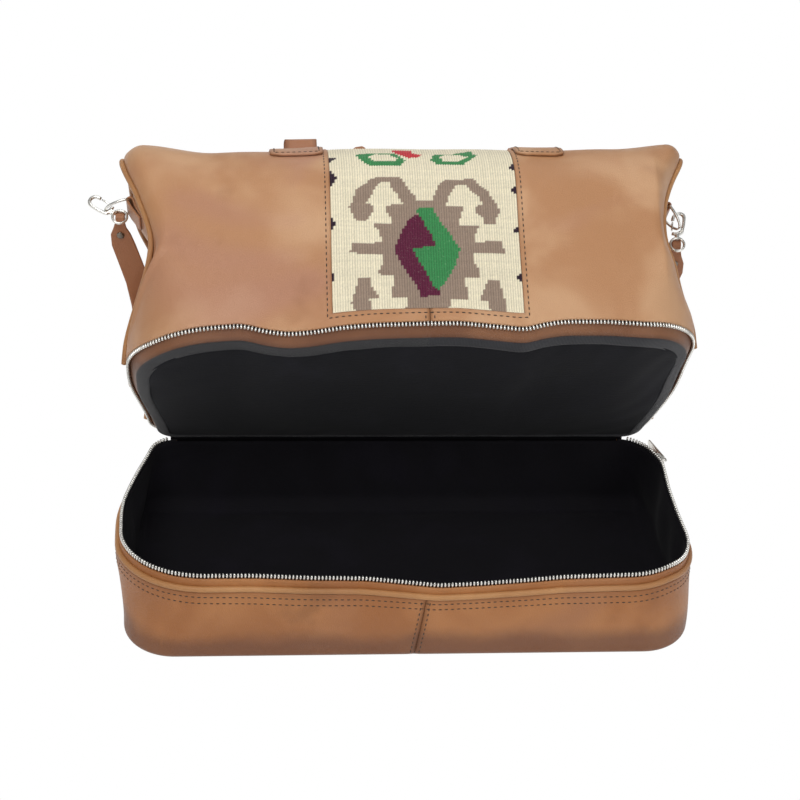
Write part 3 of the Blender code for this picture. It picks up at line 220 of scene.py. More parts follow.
def upper_sag(points):
    """Points of the upper bag in its own closed frame: along, depth from the hinge, height."""
    x, v, w = points[..., 0], points[..., 1], points[..., 2]
    left = x < 0.0
    # The front leans to the right, most at its middle
    away = rise(w - v, 0.0, 0.14) * rise(-v - HINGE_Y, 0.008, 0.066)
    dx = UPPER_DRIFT * np.clip(1.0 - (x / HALF_LENGTH) ** 2, 0.0, 1.0) * away
    # The ends bulge and sink, the left one mostly in front, and behind it is drawn in
    ends = rise(np.abs(x), 0.12, 0.14)
    front_end = 0.10 + 0.90 * rise(-v, 0.135, 0.095)
    dx = dx + np.where(left, -LEFT_END_WAVE(w) * front_end, RIGHT_END_WAVE(w)) * ends
    behind = LEFT_BACK_PULL * rise(v, -0.12, 0.08) * rise(w, 0.0, 0.05) * (1.0 - rise(w, 0.19, 0.03))
    dx = dx + np.where(left, behind, 0.0) * ends
    # The hem and the top's front edge hang in waves
    hem = HEM_WAVE(x) * (1.0 - rise(w, 0.0, 0.075)) * rise(-v, 0.03, 0.15)
    top = TOP_WAVE(x) * rise(w, 0.12, 0.10) * rise(-v - HINGE_Y, 0.038, 0.040)
    # Slow dents over the front and the back
    depth = np.clip((v + HINGE_Y) / HALF_DEPTH, -1.0, 1.0)
    fade = rise(w, 0.0, 0.05) * smooth((0.30 - np.abs(x)) / 0.08)
    belly = 0.0016 * np.sin(26.0 * x + 1.3) * np.sin(31.0 * w + 0.6)
    belly = belly + 0.0010 * np.sin(55.0 * x + 40.0 * w + 2.1)
    # The hinge line's ends are drawn in
    narrow = np.where(left, rise(v, -0.16, 0.16), rise(v, -0.12, 0.12)) * BACK_NARROWING
    dx = dx - np.sign(x) * narrow * rise(np.abs(x), 0.10, 0.14) * (1.0 - rise(w, 0.0, 0.07))
    # The front's right edge turns back
    turned = np.clip(x - 0.236, 0.0, 0.030) * rise(w, 0.02, 0.05) * (1.0 - rise(w, 0.16, 0.05))
    dv = depth * belly * fade + 0.45 * turned * smooth(-depth)
    return np.stack([x + dx - 0.15 * turned, v + dv, w + hem + top], axis=-1)


def base_sag(points):
    """Points of the base in the world frame."""
    x, y, z = points[..., 0], points[..., 1], points[..., 2]
    left = x < 0.0
    up = z / ZIP_LINE
    # The front of the rim hangs in waves and leans to the right
    front = smooth((0.105 - y) / 0.13)
    dz = RIM_WAVE(x) * front * smooth(up) ** 0.9
    dx = BASE_DRIFT * np.clip(1.0 - (x / HALF_LENGTH) ** 2, 0.0, 1.0) * up * front
    # The end walls bulge and sink above, and spread at the foot
    side = rise(np.abs(x), 0.16, 0.09)
    dx = dx + np.where(left, -LEFT_WALL_WAVE(y), RIGHT_WALL_WAVE(y)) * side * smooth(up * 1.1)
    foot = np.where(left, -FOOT_SPREAD[0], FOOT_SPREAD[1]) * (1.0 - rise(z, 0.0, 0.060))
    dx = dx + foot * rise(np.abs(x), 0.13, 0.10)
    # The hinge line's ends are drawn in
    narrow = np.where(left, rise(y, -0.03, 0.16), rise(y, 0.070, 0.060)) * BACK_NARROWING
    dx = dx - np.sign(x) * narrow * rise(np.abs(x), 0.10, 0.14) * smooth(up)
    return np.stack([x + dx, y, z + dz], axis=-1)


def to_world(points):
    """From the upper bag's closed frame to the world, tipped back about the hinge."""
    x, v, w = points[..., 0], points[..., 1], points[..., 2]
    cos, sin = math.cos(OPEN_TURN), math.sin(OPEN_TURN)
    return np.stack([x, HINGE_Y + v * cos + w * sin, ZIP_LINE - v * sin + w * cos], axis=-1)


def to_hung(points):
    """From the world to the upper bag's closed frame."""
    x, y, z = points[..., 0], points[..., 1] - HINGE_Y, points[..., 2] - ZIP_LINE
    cos, sin = math.cos(OPEN_TURN), math.sin(OPEN_TURN)
    return np.stack([x, y * cos - z * sin, y * sin + z * cos], axis=-1)


def upper_place(points):
    return to_world(upper_sag(np.asarray(points, float)))


def base_place(points):
    return base_sag(np.asarray(points, float))


def sag_copy(points):
    """For points of the upper bag that stand at their place in the world already."""
    return to_world(upper_sag(to_hung(points)))


# Form of the upper bag

def station(s):
    """The front's side view at arc length s: depth, height and outward normal."""
    angle = np.clip((s - STRAIGHT_TOP) / SHOULDER, 0.0, math.pi / 2)
    flat = np.maximum(0.0, s - SHOULDER_END)
    on_face = s < STRAIGHT_TOP
    depth = np.where(on_face, -HALF_DEPTH, -FLAT_HALF_DEPTH - SHOULDER * np.cos(angle) + flat)
    height = np.where(on_face, s, STRAIGHT_TOP + SHOULDER * np.sin(angle))
    return depth, height, -np.cos(angle), np.sin(angle)


def half_length(height):
    low = smooth((WAIST_HEIGHT - height) / (WAIST_HEIGHT - FOOT_STRAIGHT))
    high = smooth((height - WAIST_HEIGHT) / (UPPER_HEIGHT - WAIST_HEIGHT))
    below = mix(WAIST_HALF_LENGTH, HALF_LENGTH, low)
    above = mix(WAIST_HALF_LENGTH, TOP_HALF_LENGTH, high)
    return np.where(height < WAIST_HEIGHT, below, above)


def edge_radius(height, side):
    foot = RIM_RADIUS[0] if side < 0 else RIM_RADIUS[1]
    return mix(foot, EDGE_RADIUS, smooth((height - FOOT_STRAIGHT) / (EDGE_BLEND - FOOT_STRAIGHT)))


def edge_reach(s, side):
    """Distance over the surface from the middle line to a panel's end seam."""
    _, height, _, _ = station(s)
    radius = edge_radius(height, side)
    return half_length(height) - radius + radius * math.pi / 2


def skin(side, s, across, inset=0.0):
    """A point and its normal on the front (side -1) or back (side 1), at arc length s, across the middle."""
    s, across, inset = np.broadcast_arrays(np.asarray(s, float), across, inset)
    depth, height, normal_y, normal_z = station(s)
    radius = edge_radius(height, side)
    flat = half_length(height) - radius
    reach = np.abs(across)
    turn = np.clip((reach - flat) / radius, 0.0, math.pi / 2)
    sign = np.sign(across)
    x = np.where(reach < flat, reach, flat + radius * np.sin(turn))
    drop = radius * (1.0 - np.cos(turn))
    normal = np.stack([sign * np.sin(turn), normal_y * np.cos(turn), normal_z * np.cos(turn)], axis=-1)
    point = np.stack([sign * x, depth - normal_y * drop, height - normal_z * drop], axis=-1)
    point = point - normal * inset[..., None]
    if side > 0:
        point[..., 1] *= -1.0
        normal[..., 1] *= -1.0
    point[..., 1] -= HINGE_Y
    return point, normal


def end_skin(sign, s, share, inset=0.0):
    """A point and its normal on an end, from the front seam (share 0) to the back seam (share 1)."""
    s, share, inset = np.broadcast_arrays(np.asarray(s, float), share, inset)
    depth, height, normal_y, normal_z = station(s)
    seams = []
    for side in (-1, 1):
        drop = edge_radius(height, side) + SEAM_GAP
        seams.append((-side * (depth - normal_y * drop), height - normal_z * drop))
    lift = np.maximum(0.0, height - FOOT_STRAIGHT) / (UPPER_HEIGHT - FOOT_STRAIGHT)
    pinch = END_PINCH * np.sin(math.pi * lift) ** 2 * np.sin(math.pi * share) ** 2
    x = half_length(height) - inset - pinch
    y = mix(seams[0][0], seams[1][0], share)
    z = mix(seams[0][1], seams[1][1], share)
    point = np.stack([sign * x, y - HINGE_Y, z], axis=-1)
    normal = np.zeros_like(point)
    normal[..., 0] = sign
    return point, normal


# Form of the base

PLAN_STEPS = (44, 26, 16, 8, 44)


def plan(height, inset=0.0):
    """Right half of the outline seen from above, front middle to back middle, with its outward normals."""
    share = smooth(height / (TRAY_HEIGHT - RIM_STRAIGHT))
    x_end = HALF_LENGTH - FLOOR_END_TAPER * (1.0 - share) - inset
    y_end = HALF_DEPTH - FLOOR_SIDE_TAPER * (1.0 - share) - inset
    front = mix(FLOOR_RADIUS[0], RIM_RADIUS[0], share) - inset
    back = mix(FLOOR_RADIUS[1], RIM_RADIUS[1], share) - inset
    front_steps, front_turn, end_steps, back_turn, back_steps = PLAN_STEPS
    t = np.linspace(0.0, 1.0, front_steps, endpoint=False)
    parts = [np.stack([t * (x_end - front), 0 * t - y_end, 0 * t, 0 * t - 1.0], 1)]
    a = np.linspace(0.0, math.pi / 2, front_turn, endpoint=False)
    parts.append(np.stack([x_end - front + front * np.sin(a), front - y_end - front * np.cos(a),
                           np.sin(a), -np.cos(a)], 1))
    t = np.linspace(0.0, 1.0, end_steps, endpoint=False)
    parts.append(np.stack([0 * t + x_end, mix(front - y_end, y_end - back, t), 0 * t + 1.0, 0 * t], 1))
    a = np.linspace(0.0, math.pi / 2, back_turn, endpoint=False)
    parts.append(np.stack([x_end - back + back * np.cos(a), y_end - back + back * np.sin(a),
                           np.cos(a), np.sin(a)], 1))
    t = np.linspace(1.0, 0.0, back_steps + 1)
    parts.append(np.stack([t * (x_end - back), 0 * t + y_end, 0 * t, 0 * t + 1.0], 1))
    return np.concatenate(parts)


def mirror_plan(half):
    """The left half for a right one, so that both join to one line."""
    return half[::-1] * np.array([-1.0, 1.0, -1.0, 1.0])


def whole_plan(height, inset=0.0):
    """The whole outline at a height, once round."""
    half = plan(height, inset)
    return np.concatenate([half, mirror_plan(half)[1:-1]])


def front_plan(inset=0.0):
    """Round the front and both ends at the rim, from the back left corner to the back right one."""
    half = plan(TRAY_HEIGHT, inset)[:-PLAN_STEPS[-1]]
    return np.concatenate([mirror_plan(half)[:-1], half])


def at_height(edge, height, out=0.0):
    """Points of an outline at a height, moved out along its normals."""
    return np.stack([edge[:, 0] + edge[:, 2] * out, edge[:, 1] + edge[:, 3] * out,
                     np.broadcast_to(height, len(edge))], axis=-1)


def along_x(x, line):
    """Rows of points along x, one row for each depth and height of a side view."""
    return np.stack([np.stack([x, 0 * x + depth, 0 * x + height], axis=-1) for depth, height in line])


# Making pieces

def grid_faces(rows, columns, closed=False, keep=None):
    """Four-sided faces between rows of points. Closed joins each row's last point to its first."""
    spans = np.arange(columns if closed else columns - 1)
    row, column = np.meshgrid(np.arange(rows - 1), spans, indexing="ij")
    after = (column + 1) % columns
    faces = np.stack([row * columns + column, row * columns + after,
                      (row + 1) * columns + after, (row + 1) * columns + column], axis=-1)
    if keep is not None:
        faces = faces[keep]
    return faces.reshape(-1, 4)


def new_piece(name, data):
    """An object for a mesh, a lamp or a camera, in the scene's own collection."""
    piece = bpy.data.objects.new(name, data)
    bpy.context.scene.collection.objects.link(piece)
    return piece


def add_mesh(name, points, faces, material, attributes=None):
    mesh = bpy.data.meshes.new(name)
    mesh.from_pydata(np.asarray(points).reshape(-1, 3).tolist(), [], [list(face) for face in faces])
    for key, values in (attributes or {}).items():
        kind = "FLOAT_COLOR" if np.ndim(values) > 1 and np.shape(values)[-1] == 4 else "FLOAT"
        layer = mesh.attributes.new(key, kind, "POINT")
        flat = np.asarray(values, np.float32).reshape(-1)
        layer.data.foreach_set("color" if kind == "FLOAT_COLOR" else "value", flat)
    mesh.materials.append(material)
    mesh.shade_smooth()
    return new_piece(name, mesh)


def drop_loose(piece):
    """Takes out points that no face uses."""
    work = bmesh.new()
    work.from_mesh(piece.data)
    bmesh.ops.delete(work, geom=[v for v in work.verts if not v.link_faces], context="VERTS")
    work.to_mesh(piece.data)
    work.free()


def face_away(piece, inner):
    """Turns an open sheet so that its faces look away from a point behind it."""
    inner = Vector(inner)
    total = 0.0
    for polygon in piece.data.polygons:
        total += polygon.area * polygon.normal.dot(polygon.center - inner)
    if total < 0.0:
        piece.data.flip_normals()


def thicken(piece, thickness):
    wall = piece.modifiers.new("wall", "SOLIDIFY")
    wall.thickness = thickness
    wall.offset = -1.0


def settle(piece, body, slot, *nodes):
    """Hangs a piece on the body that it rides on, and hides the solids that it stands for. The slot is not
    used.
    """
    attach(piece, body)
    if nodes:
        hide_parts(*nodes)
    return piece


def sheet(name, points, material, inner, thickness, closed=False, keep=None, attributes=None):
    """Rows of points made a sheet with its thickness on the side of a point behind it."""
    rows, columns = points.shape[:2]
    faces = grid_faces(rows, columns, closed, keep)
    piece = add_mesh(name, points, faces, material, attributes)
    if keep is not None:
        drop_loose(piece)
    face_away(piece, inner)
    if thickness:
        thicken(piece, thickness)
    return piece


def lidded_sheet(name, rings, material, place, inner, thickness):
    """A sheet of closed rings, with one face over the last ring."""
    points = np.stack(rings)
    count, columns = points.shape[:2]
    faces = grid_faces(count, columns, True).tolist()
    faces.append([(count - 1) * columns + i for i in range(columns)])
    piece = add_mesh(name, place(points), faces, material)
    face_away(piece, inner)
    thicken(piece, thickness)
    return piece


def tube(name, path, radius, material, sides=12):
    """A round cord along a path, with domed ends."""
    path = np.asarray(path, float)
    count = len(path)
    tangent = np.gradient(path, axis=0)
    tangent /= np.linalg.norm(tangent, axis=1)[:, None]
    up = np.zeros((count, 3))
    last = np.array([0.0, 0.0, 1.0]) if abs(tangent[0][2]) < 0.9 else np.array([0.0, 1.0, 0.0])
    for i in range(count):
        last = last - tangent[i] * last.dot(tangent[i])
        last = last / np.linalg.norm(last)
        up[i] = last
    side = np.cross(tangent, up)
    angle = 2 * math.pi * np.arange(sides) / sides
    ring = side[:, None] * np.cos(angle)[None, :, None] + up[:, None] * np.sin(angle)[None, :, None]
    points = path[:, None] + ring * radius
    first = path[:1] - tangent[:1] * radius * 0.5
    final = path[-1:] + tangent[-1:] * radius * 0.5
    faces = grid_faces(count, sides, True).tolist()
    low, high = count * sides, count * sides + 1
    for i in range(sides):
        k = (i + 1) % sides
        faces.append([low, k, i])
        faces.append([high, (count - 1) * sides + i, (count - 1) * sides + k])
    piece = add_mesh(name, np.concatenate([points.reshape(-1, 3), first, final]), faces, material)
    work = bmesh.new()
    work.from_mesh(piece.data)
    bmesh.ops.recalc_face_normals(work, faces=work.faces)
    work.to_mesh(piece.data)
    work.free()
    return piece


def refined(name, node, material, body, slot, bevel=0.0, levels=0, place=sag_copy):
    """A finer copy of one solid: welded, its edges rounded, and sagged with its surroundings."""
    work = bmesh.new()
    work.from_mesh(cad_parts[node].data)
    bmesh.ops.remove_doubles(work, verts=work.verts, dist=0.00002)
    bmesh.ops.join_triangles(work, faces=work.faces, angle_face_threshold=math.radians(6.0),
                             angle_shape_threshold=math.radians(40.0))
    bmesh.ops.recalc_face_normals(work, faces=work.faces)
    mesh = bpy.data.meshes.new(name)
    work.to_mesh(mesh)
    work.free()
    for layer in [item.name for item in mesh.attributes if item.name.lower().startswith(("uv", "col"))]:
        mesh.attributes.remove(mesh.attributes[layer])
    mesh.materials.clear()
    mesh.materials.append(material)
    points = np.empty(len(mesh.vertices) * 3)
    mesh.vertices.foreach_get("co", points)
    mesh.vertices.foreach_set("co", place(points.reshape(-1, 3)).reshape(-1))
    mesh.shade_smooth()
    piece = new_piece(name, mesh)
    if bevel:
        edge = piece.modifiers.new("edges", "BEVEL")
        edge.width = bevel
        edge.segments = 2
        edge.limit_method = "ANGLE"
        edge.angle_limit = math.radians(38.0)
    if levels:
        surface = piece.modifiers.new("surface", "SUBSURF")
        surface.levels = levels
        surface.render_levels = levels
    else:
        mesh.set_sharp_from_angle(angle=math.radians(50.0))
    return settle(piece, body, slot, node)


# Repeated things by Geometry Nodes: stitches and zip teeth

def instance_tree(name, ball):
    """One small body at each point, turned by the points' along and up vectors."""
    tree = bpy.data.node_groups.new(name, "GeometryNodeTree")
    face = tree.interface
    face.new_socket("Geometry", in_out="INPUT", socket_type="NodeSocketGeometry")
    for size in ("Length", "Width", "Height"):
        face.new_socket(size, in_out="INPUT", socket_type="NodeSocketFloat")
    face.new_socket("Material", in_out="INPUT", socket_type="NodeSocketMaterial")
    face.new_socket("Geometry", in_out="OUTPUT", socket_type="NodeSocketGeometry")
    nodes, links = tree.nodes, tree.links
    entry = nodes.new("NodeGroupInput")
    leave = nodes.new("NodeGroupOutput")
    size = nodes.new("ShaderNodeCombineXYZ")
    for i, key in enumerate(("Length", "Width", "Height")):
        links.new(entry.outputs[key], size.inputs[i])
    if ball:
        body = nodes.new("GeometryNodeMeshUVSphere")
        body.inputs["Segments"].default_value = 8
        body.inputs["Rings"].default_value = 5
        body.inputs["Radius"].default_value = 0.5
        shape = body.outputs["Mesh"]
    else:
        body = nodes.new("GeometryNodeMeshCube")
        soft = nodes.new("GeometryNodeSubdivisionSurface")
        soft.inputs["Level"].default_value = 1
        soft.inputs["Edge Crease"].default_value = 0.55
        links.new(body.outputs["Mesh"], soft.inputs["Mesh"])
        shape = soft.outputs["Mesh"]
    scaled = nodes.new("GeometryNodeTransform")
    links.new(shape, scaled.inputs["Geometry"])
    links.new(size.outputs[0], scaled.inputs["Scale"])
    turn = None
    for key, axis, pivot in (("along", "X", "AUTO"), ("up", "Z", "X")):
        vector = nodes.new("GeometryNodeInputNamedAttribute")
        vector.data_type = "FLOAT_VECTOR"
        vector.inputs["Name"].default_value = key
        align = nodes.new("FunctionNodeAlignRotationToVector")
        align.axis = axis
        align.pivot_axis = pivot
        links.new(vector.outputs["Attribute"], align.inputs["Vector"])
        if turn:
            links.new(turn, align.inputs["Rotation"])
        turn = align.outputs["Rotation"]
    placed = nodes.new("GeometryNodeInstanceOnPoints")
    links.new(entry.outputs["Geometry"], placed.inputs["Points"])
    links.new(scaled.outputs["Geometry"], placed.inputs["Instance"])
    links.new(turn, placed.inputs["Rotation"])
    real = nodes.new("GeometryNodeRealizeInstances")
    links.new(placed.outputs["Instances"], real.inputs["Geometry"])
    shade = nodes.new("GeometryNodeSetShadeSmooth")
    links.new(real.outputs["Geometry"], shade.inputs["Geometry"])
    finish = nodes.new("GeometryNodeSetMaterial")
    links.new(shade.outputs["Geometry"], finish.inputs["Geometry"])
    links.new(entry.outputs["Material"], finish.inputs["Material"])
    links.new(finish.outputs["Geometry"], leave.inputs["Geometry"])
    return tree


def repeated(name, places, size, tree, material):
    """Places is rows of point, along and up. The result is one plain mesh."""
    mesh = bpy.data.meshes.new(name + "_points")
    mesh.from_pydata([list(row[0:3]) for row in places], [], [])
    for key, first in (("along", 3), ("up", 6)):
        layer = mesh.attributes.new(key, "FLOAT_VECTOR", "POINT")
        vectors = np.ascontiguousarray(places[:, first:first + 3], np.float32)
        layer.data.foreach_set("vector", vectors.reshape(-1))
    holder = new_piece(name + "_holder", mesh)
    modifier = holder.modifiers.new("repeat", "NODES")
    modifier.node_group = tree
    values = {"Length": size[0], "Width": size[1], "Height": size[2], "Material": material}
    for item in tree.interface.items_tree:
        if item.item_type == "SOCKET" and item.in_out == "INPUT" and item.name in values:
            modifier[item.identifier] = values[item.name]
    graph = bpy.context.evaluated_depsgraph_get()
    made = bpy.data.meshes.new_from_object(holder.evaluated_get(graph))
    holder.modifiers.clear()
    bpy.data.objects.remove(holder, do_unlink=True)
    made.name = name
    return new_piece(name, made)


def resample(path, normals, pitch):
    """Evenly spaced places along a dense path: point, along, up."""
    step = np.linalg.norm(np.diff(path, axis=0), axis=1)
    length = np.concatenate([[0.0], np.cumsum(step)])
    count = max(1, int(length[-1] / pitch))
    spots = (np.arange(count) + 0.5) * length[-1] / count

    def at(places, values):
        return np.stack([np.interp(places, length, values[:, i]) for i in range(3)], 1)

    point = at(spots, path)
    along = at(spots + pitch * 0.2, path) - at(spots - pitch * 0.2, path)
    along /= np.linalg.norm(along, axis=1)[:, None]
    up = at(spots, normals)
    up -= along * np.sum(along * up, axis=1)[:, None]
    up /= np.linalg.norm(up, axis=1)[:, None]
    return np.concatenate([point, along, up], axis=1)


def seam_on_skin(side, s, across, lift=None, pitch=STITCH_PITCH):
    """Stitch places along a line over the upper bag. Without a lift they lie on the leather's relief."""
    s, across = np.broadcast_arrays(np.asarray(s, float), across)
    point, normal = skin(side, s, across)
    height = skin_relief(side, s, across) + STITCH_LIFT if lift is None else np.full(s.shape, lift)
    point = point + normal * height[..., None]
    low = upper_place(point)
    high = upper_place(point + normal * UP_STEP)
    return resample(low, high - low, pitch)


# Relief of the leather on the upper bag

SEAM_ROLL = 0.0009
WINDOW_SEAM = 0.0046


def window_distance(s, across):
    """Distance outside the woven panel's window."""
    beside = np.abs(across) - KILIM_HALF
    below = KILIM_FOOT - s
    return np.maximum(beside, below)


def skin_relief(side, s, across):
    """Height of the leather over its plain form."""
    s, across = np.broadcast_arrays(np.asarray(s, float), across)
    middle = np.abs(across)
    end = edge_reach(s, side) - middle
    # The end seams and the middle seam
    height = -SEAM_ROLL * np.exp(-end / 0.0016) + 0.0007 * bell(end - 0.006, 0.004)
    height = height - SEAM_ROLL * np.exp(-middle / 0.0012) * (1.0 if side > 0 else 0.8)
    if side > 0:
        return height - STITCH_GROOVE * bell(middle - SEAM_STITCH, 0.0008)
    # The turned edge of the woven panel's window, with its row of stitches
    window = window_distance(s, across)
    height = height - 0.0006 * np.exp(-np.abs(window) / 0.0007)
    height = height - STITCH_GROOVE * bell(window - WINDOW_SEAM, 0.0009)
    height = height + 0.0004 * bell(window - 0.0022, 0.0014)
    # The fold beside the left piping, and the dent at both ends of the shoulder
    ridge = 0.012 + 0.10 * np.clip(s - 0.030, 0.0, 0.08)
    fold = -0.0060 * bell(end - 0.0060, 0.0045) + 0.0034 * bell(end - ridge, 0.0050)
    height = height + np.where(across < 0.0, fold * bell(s - 0.055, 0.034), 0.0)
    return height - 0.0022 * bell(s - 0.225, 0.018) * bell(middle - 0.215, 0.030)


def edge_wear_and_shade(side, s, across):
    """1 at edges and seams, fading over a few millimetres. It darkens the leather there: partly wear, partly
    painted shade beside the seams and the piping.
    """
    end = edge_reach(s, side) - np.abs(across)
    wear_and_shade = np.exp(-end / 0.004)
    wear_and_shade = np.maximum(wear_and_shade, np.exp(-np.abs(across) / 0.0025) * np.ones_like(wear_and_shade))
    if side < 0:
        window = np.abs(window_distance(s, across))
        wear_and_shade = np.maximum(wear_and_shade, np.exp(-window / 0.0016))
    return wear_and_shade


# Shader building

class Wire:
    """A shader socket that can be used in sums."""

    def __init__(self, graph, socket):
        self.graph = graph
        self.socket = socket

    def maths(self, operation, *values):
        return self.graph.node("ShaderNodeMath", {"operation": operation}, dict(enumerate(values)))

    def __add__(self, other):
        return self.maths("ADD", self, other)

    def __sub__(self, other):
        return self.maths("SUBTRACT", self, other)

    def __rsub__(self, other):
        return self.maths("SUBTRACT", other, self)

    def __mul__(self, other):
        return self.maths("MULTIPLY", self, other)

    __radd__ = __add__
    __rmul__ = __mul__

    def between(self, low, high):
        """0 below low, 1 above high and smooth between them."""
        return self.graph.node("ShaderNodeMapRange", {"interpolation_type": "SMOOTHSTEP"},
                               {"Value": self, "From Min": low, "From Max": high})


class Finish:
    """A material's node tree, ending in one Principled BSDF."""

    def __init__(self, name, **constants):
        self.material = bpy.data.materials.new(name)
        self.material.use_nodes = True
        self.tree = self.material.node_tree
        self.shader = self.tree.nodes["Principled BSDF"]
        for key, value in constants.items():
            self.shader.inputs[key.replace("_", " ").title().replace("Ior", "IOR")].default_value = value

    def node(self, kind, settings=None, inputs=None, output=0):
        made = self.tree.nodes.new(kind)
        for key, value in (settings or {}).items():
            setattr(made, key, value)
        for key, value in (inputs or {}).items():
            if isinstance(value, Wire):
                self.tree.links.new(value.socket, made.inputs[key])
            else:
                made.inputs[key].default_value = value
        return Wire(self, made.outputs[output])

    def place(self):
        return self.node("ShaderNodeTexCoord", output="Object")

    def stretched(self, scale):
        return self.node("ShaderNodeMapping", inputs={"Vector": self.place(), "Scale": scale})

    def noise(self, scale, detail=2.0, roughness=0.5, distortion=0.0, vector=None):
        return self.node("ShaderNodeTexNoise", inputs={
            "Vector": vector or self.place(), "Scale": scale, "Detail": detail, "Roughness": roughness,
            "Distortion": distortion}, output="Fac")

    def cells(self, scale, vector=None):
        return self.node("ShaderNodeTexVoronoi", {"feature": "DISTANCE_TO_EDGE"},
                         {"Vector": vector or self.place(), "Scale": scale}, "Distance")

    def attribute(self, name, output="Fac"):
        return self.node("ShaderNodeAttribute", {"attribute_name": name}, output=output)

    def height_z(self):
        return self.node("ShaderNodeSeparateXYZ", inputs={0: self.place()}, output="Z")

    def blend(self, first, second, share):
        first, second = (tone if isinstance(tone, Wire) else colour(tone) for tone in (first, second))
        return self.node("ShaderNodeMix", {"data_type": "RGBA"}, {0: share, 6: first, 7: second}, 2)

    def give(self, key, value):
        self.tree.links.new(value.socket, self.shader.inputs[key])

    def bump(self, height, distance):
        normal = self.node("ShaderNodeBump", inputs={"Height": height, "Distance": distance}, output="Normal")
        self.give("Normal", normal)


def colour(values):
    """Linear colour from the 0 to 255 values that a screen shows."""
    linear = []
    for value in values:
        share = value / 255.0
        linear.append(share / 12.92 if share <= 0.04045 else ((share + 0.055) / 1.055) ** 2.4)
    return (*linear, 1.0)


def leather(name, light, middle, deep, flush, low=None):
    """Waxed leather: soft patches of colour, a fine grain, paler scuffs and darker, polished edges, whose
    darkening is partly wear and partly painted shade beside seams. With low, painted shade darkens it towards
    the floor.
    """
    finish = Finish(name, specular_ior_level=0.42, coat_roughness=0.35)
    patches = finish.noise(9.0, 3.0, 0.55, 0.4)
    tone = finish.blend(middle, light, patches.between(0.42, 0.66))
    cloud = finish.noise(5.2, 2.0, 0.5, 0.8)
    tone = finish.blend(tone, flush, cloud.between(0.50, 0.70) * 0.65)
    smoke = finish.noise(13.0, 3.0, 0.6)
    tone = finish.blend(tone, deep, smoke.between(0.58, 0.78) * 0.35)
    # Painted shade: when low is given, the leather turns darker towards the floor, over its lowest few
    # centimetres
    if low:
        floor_shade_depth = finish.height_z() * -1.0
        tone = finish.blend(tone, low[0], (floor_shade_depth + smoke * 0.03).between(-low[1], -low[2]) * 0.75)
    # Darker, smoother edges and seams: partly wear, partly painted shade
    edge = finish.attribute("wear_and_shade")
    tone = finish.blend(tone, deep, edge * 0.55)
    scuffs = finish.noise(70.0, 4.0, 0.7, 1.0, finish.stretched((1.0, 1.0, 0.25)))
    tone = finish.blend(tone, light, scuffs.between(0.60, 0.80) * 0.22)
    finish.give("Base Color", tone)
    grain = finish.cells(760.0)
    creases = finish.noise(120.0, 3.0, 0.6, 1.5)
    finish.give("Roughness", creases * 0.22 + 0.36 - scuffs * 0.06 + edge * -0.05)
    finish.give("Coat Weight", patches.between(0.3, 0.8) * 0.10)
    finish.bump(grain.between(0.0, 0.22) * 0.30 + creases * 0.75 + smoke * 1.2, 0.00045)
    return finish.material


def cloth(name, tone, scale, sheen, depth=0.0002):
    """Plain woven cloth: crossed threads, with dust and soft rubs in the colour."""
    finish = Finish(name, roughness=0.88, sheen_weight=sheen, sheen_roughness=0.5, specular_ior_level=0.25)
    lines = finish.noise(scale, 2.0, 0.6, 0.0, finish.stretched((1.0, 1.0, 0.12)))
    cross = finish.noise(scale, 2.0, 0.6, 0.0, finish.stretched((0.12, 0.12, 1.0)))
    rub = finish.noise(14.0, 3.0, 0.6, 0.3)
    paler = tuple(min(255, value * 1.7 + 6) for value in tone)
    mixed = finish.blend(tone, paler, rub.between(0.45, 0.80) * 0.5 + lines * cross * 0.35)
    finish.give("Base Color", mixed)
    finish.give("Roughness", 0.80 + rub * 0.15)
    finish.bump(lines + cross, depth)
    return finish.material


def ribbed_tape(name, tone):
    """Grosgrain: fine ribs across its length, paler on their crests as a painted highlight."""
    finish = Finish(name, sheen_weight=0.25, specular_ior_level=0.4)
    turns = finish.attribute("run") * (2 * math.pi / GROSGRAIN_RIB)
    ribs = turns.maths("SINE", turns) * 0.5 + 0.5
    rub = finish.noise(24.0, 3.0, 0.6)
    # Paler on the rib crests as a painted highlight, and paler in rubbed patches
    mixed = finish.blend(tone, tuple(value * 1.8 for value in tone), ribs * 0.35 + rub * 0.35)
    finish.give("Base Color", mixed)
    finish.give("Roughness", 0.72 - ribs * 0.15)
    finish.bump(ribs, 0.00025)
    return finish.material


def wool(name):
    """Flat-woven wool. The dyed fields, with painted shade between the ribs and painted light on their crowns,
    are the panel's own colour attribute.
    """
    finish = Finish(name, sheen_weight=0.2, specular_ior_level=0.15)
    dye_and_groove_shade = finish.attribute("dye_and_groove_shade", "Color")
    fuzz = finish.noise(520.0, 3.0, 0.7)
    rub = finish.noise(22.0, 2.0, 0.5)
    tone = finish.blend(dye_and_groove_shade, (250, 246, 228), fuzz.between(0.55, 0.85) * 0.18)
    tone = finish.blend(tone, (120, 100, 80), rub.between(0.60, 0.85) * 0.12)
    finish.give("Base Color", tone)
    finish.give("Roughness", 0.86 + fuzz * 0.12)
    picks = finish.noise(620.0, 1.0, 0.5, 0.0, finish.stretched((0.35, 1.0, 1.0)))
    finish.bump(picks * 1.0 + fuzz * 0.7, 0.0005)
    return finish.material


def metal(name, tone, tarnish, rough):
    """Plated metal: faint clouding, hairline scratches and tarnish in soft patches."""
    finish = Finish(name, metallic=1.0)
    cloud = finish.noise(160.0, 3.0, 0.6)
    hair = finish.noise(900.0, 2.0, 0.5, 0.0, finish.stretched((0.1, 1.0, 1.0)))
    finish.give("Base Color", finish.blend(tone, tarnish, cloud.between(0.48, 0.75) * 0.6))
    finish.give("Roughness", cloud * 0.18 + hair * 0.10 + rough - 0.12)
    finish.bump(hair, 0.00002)
    return finish.material


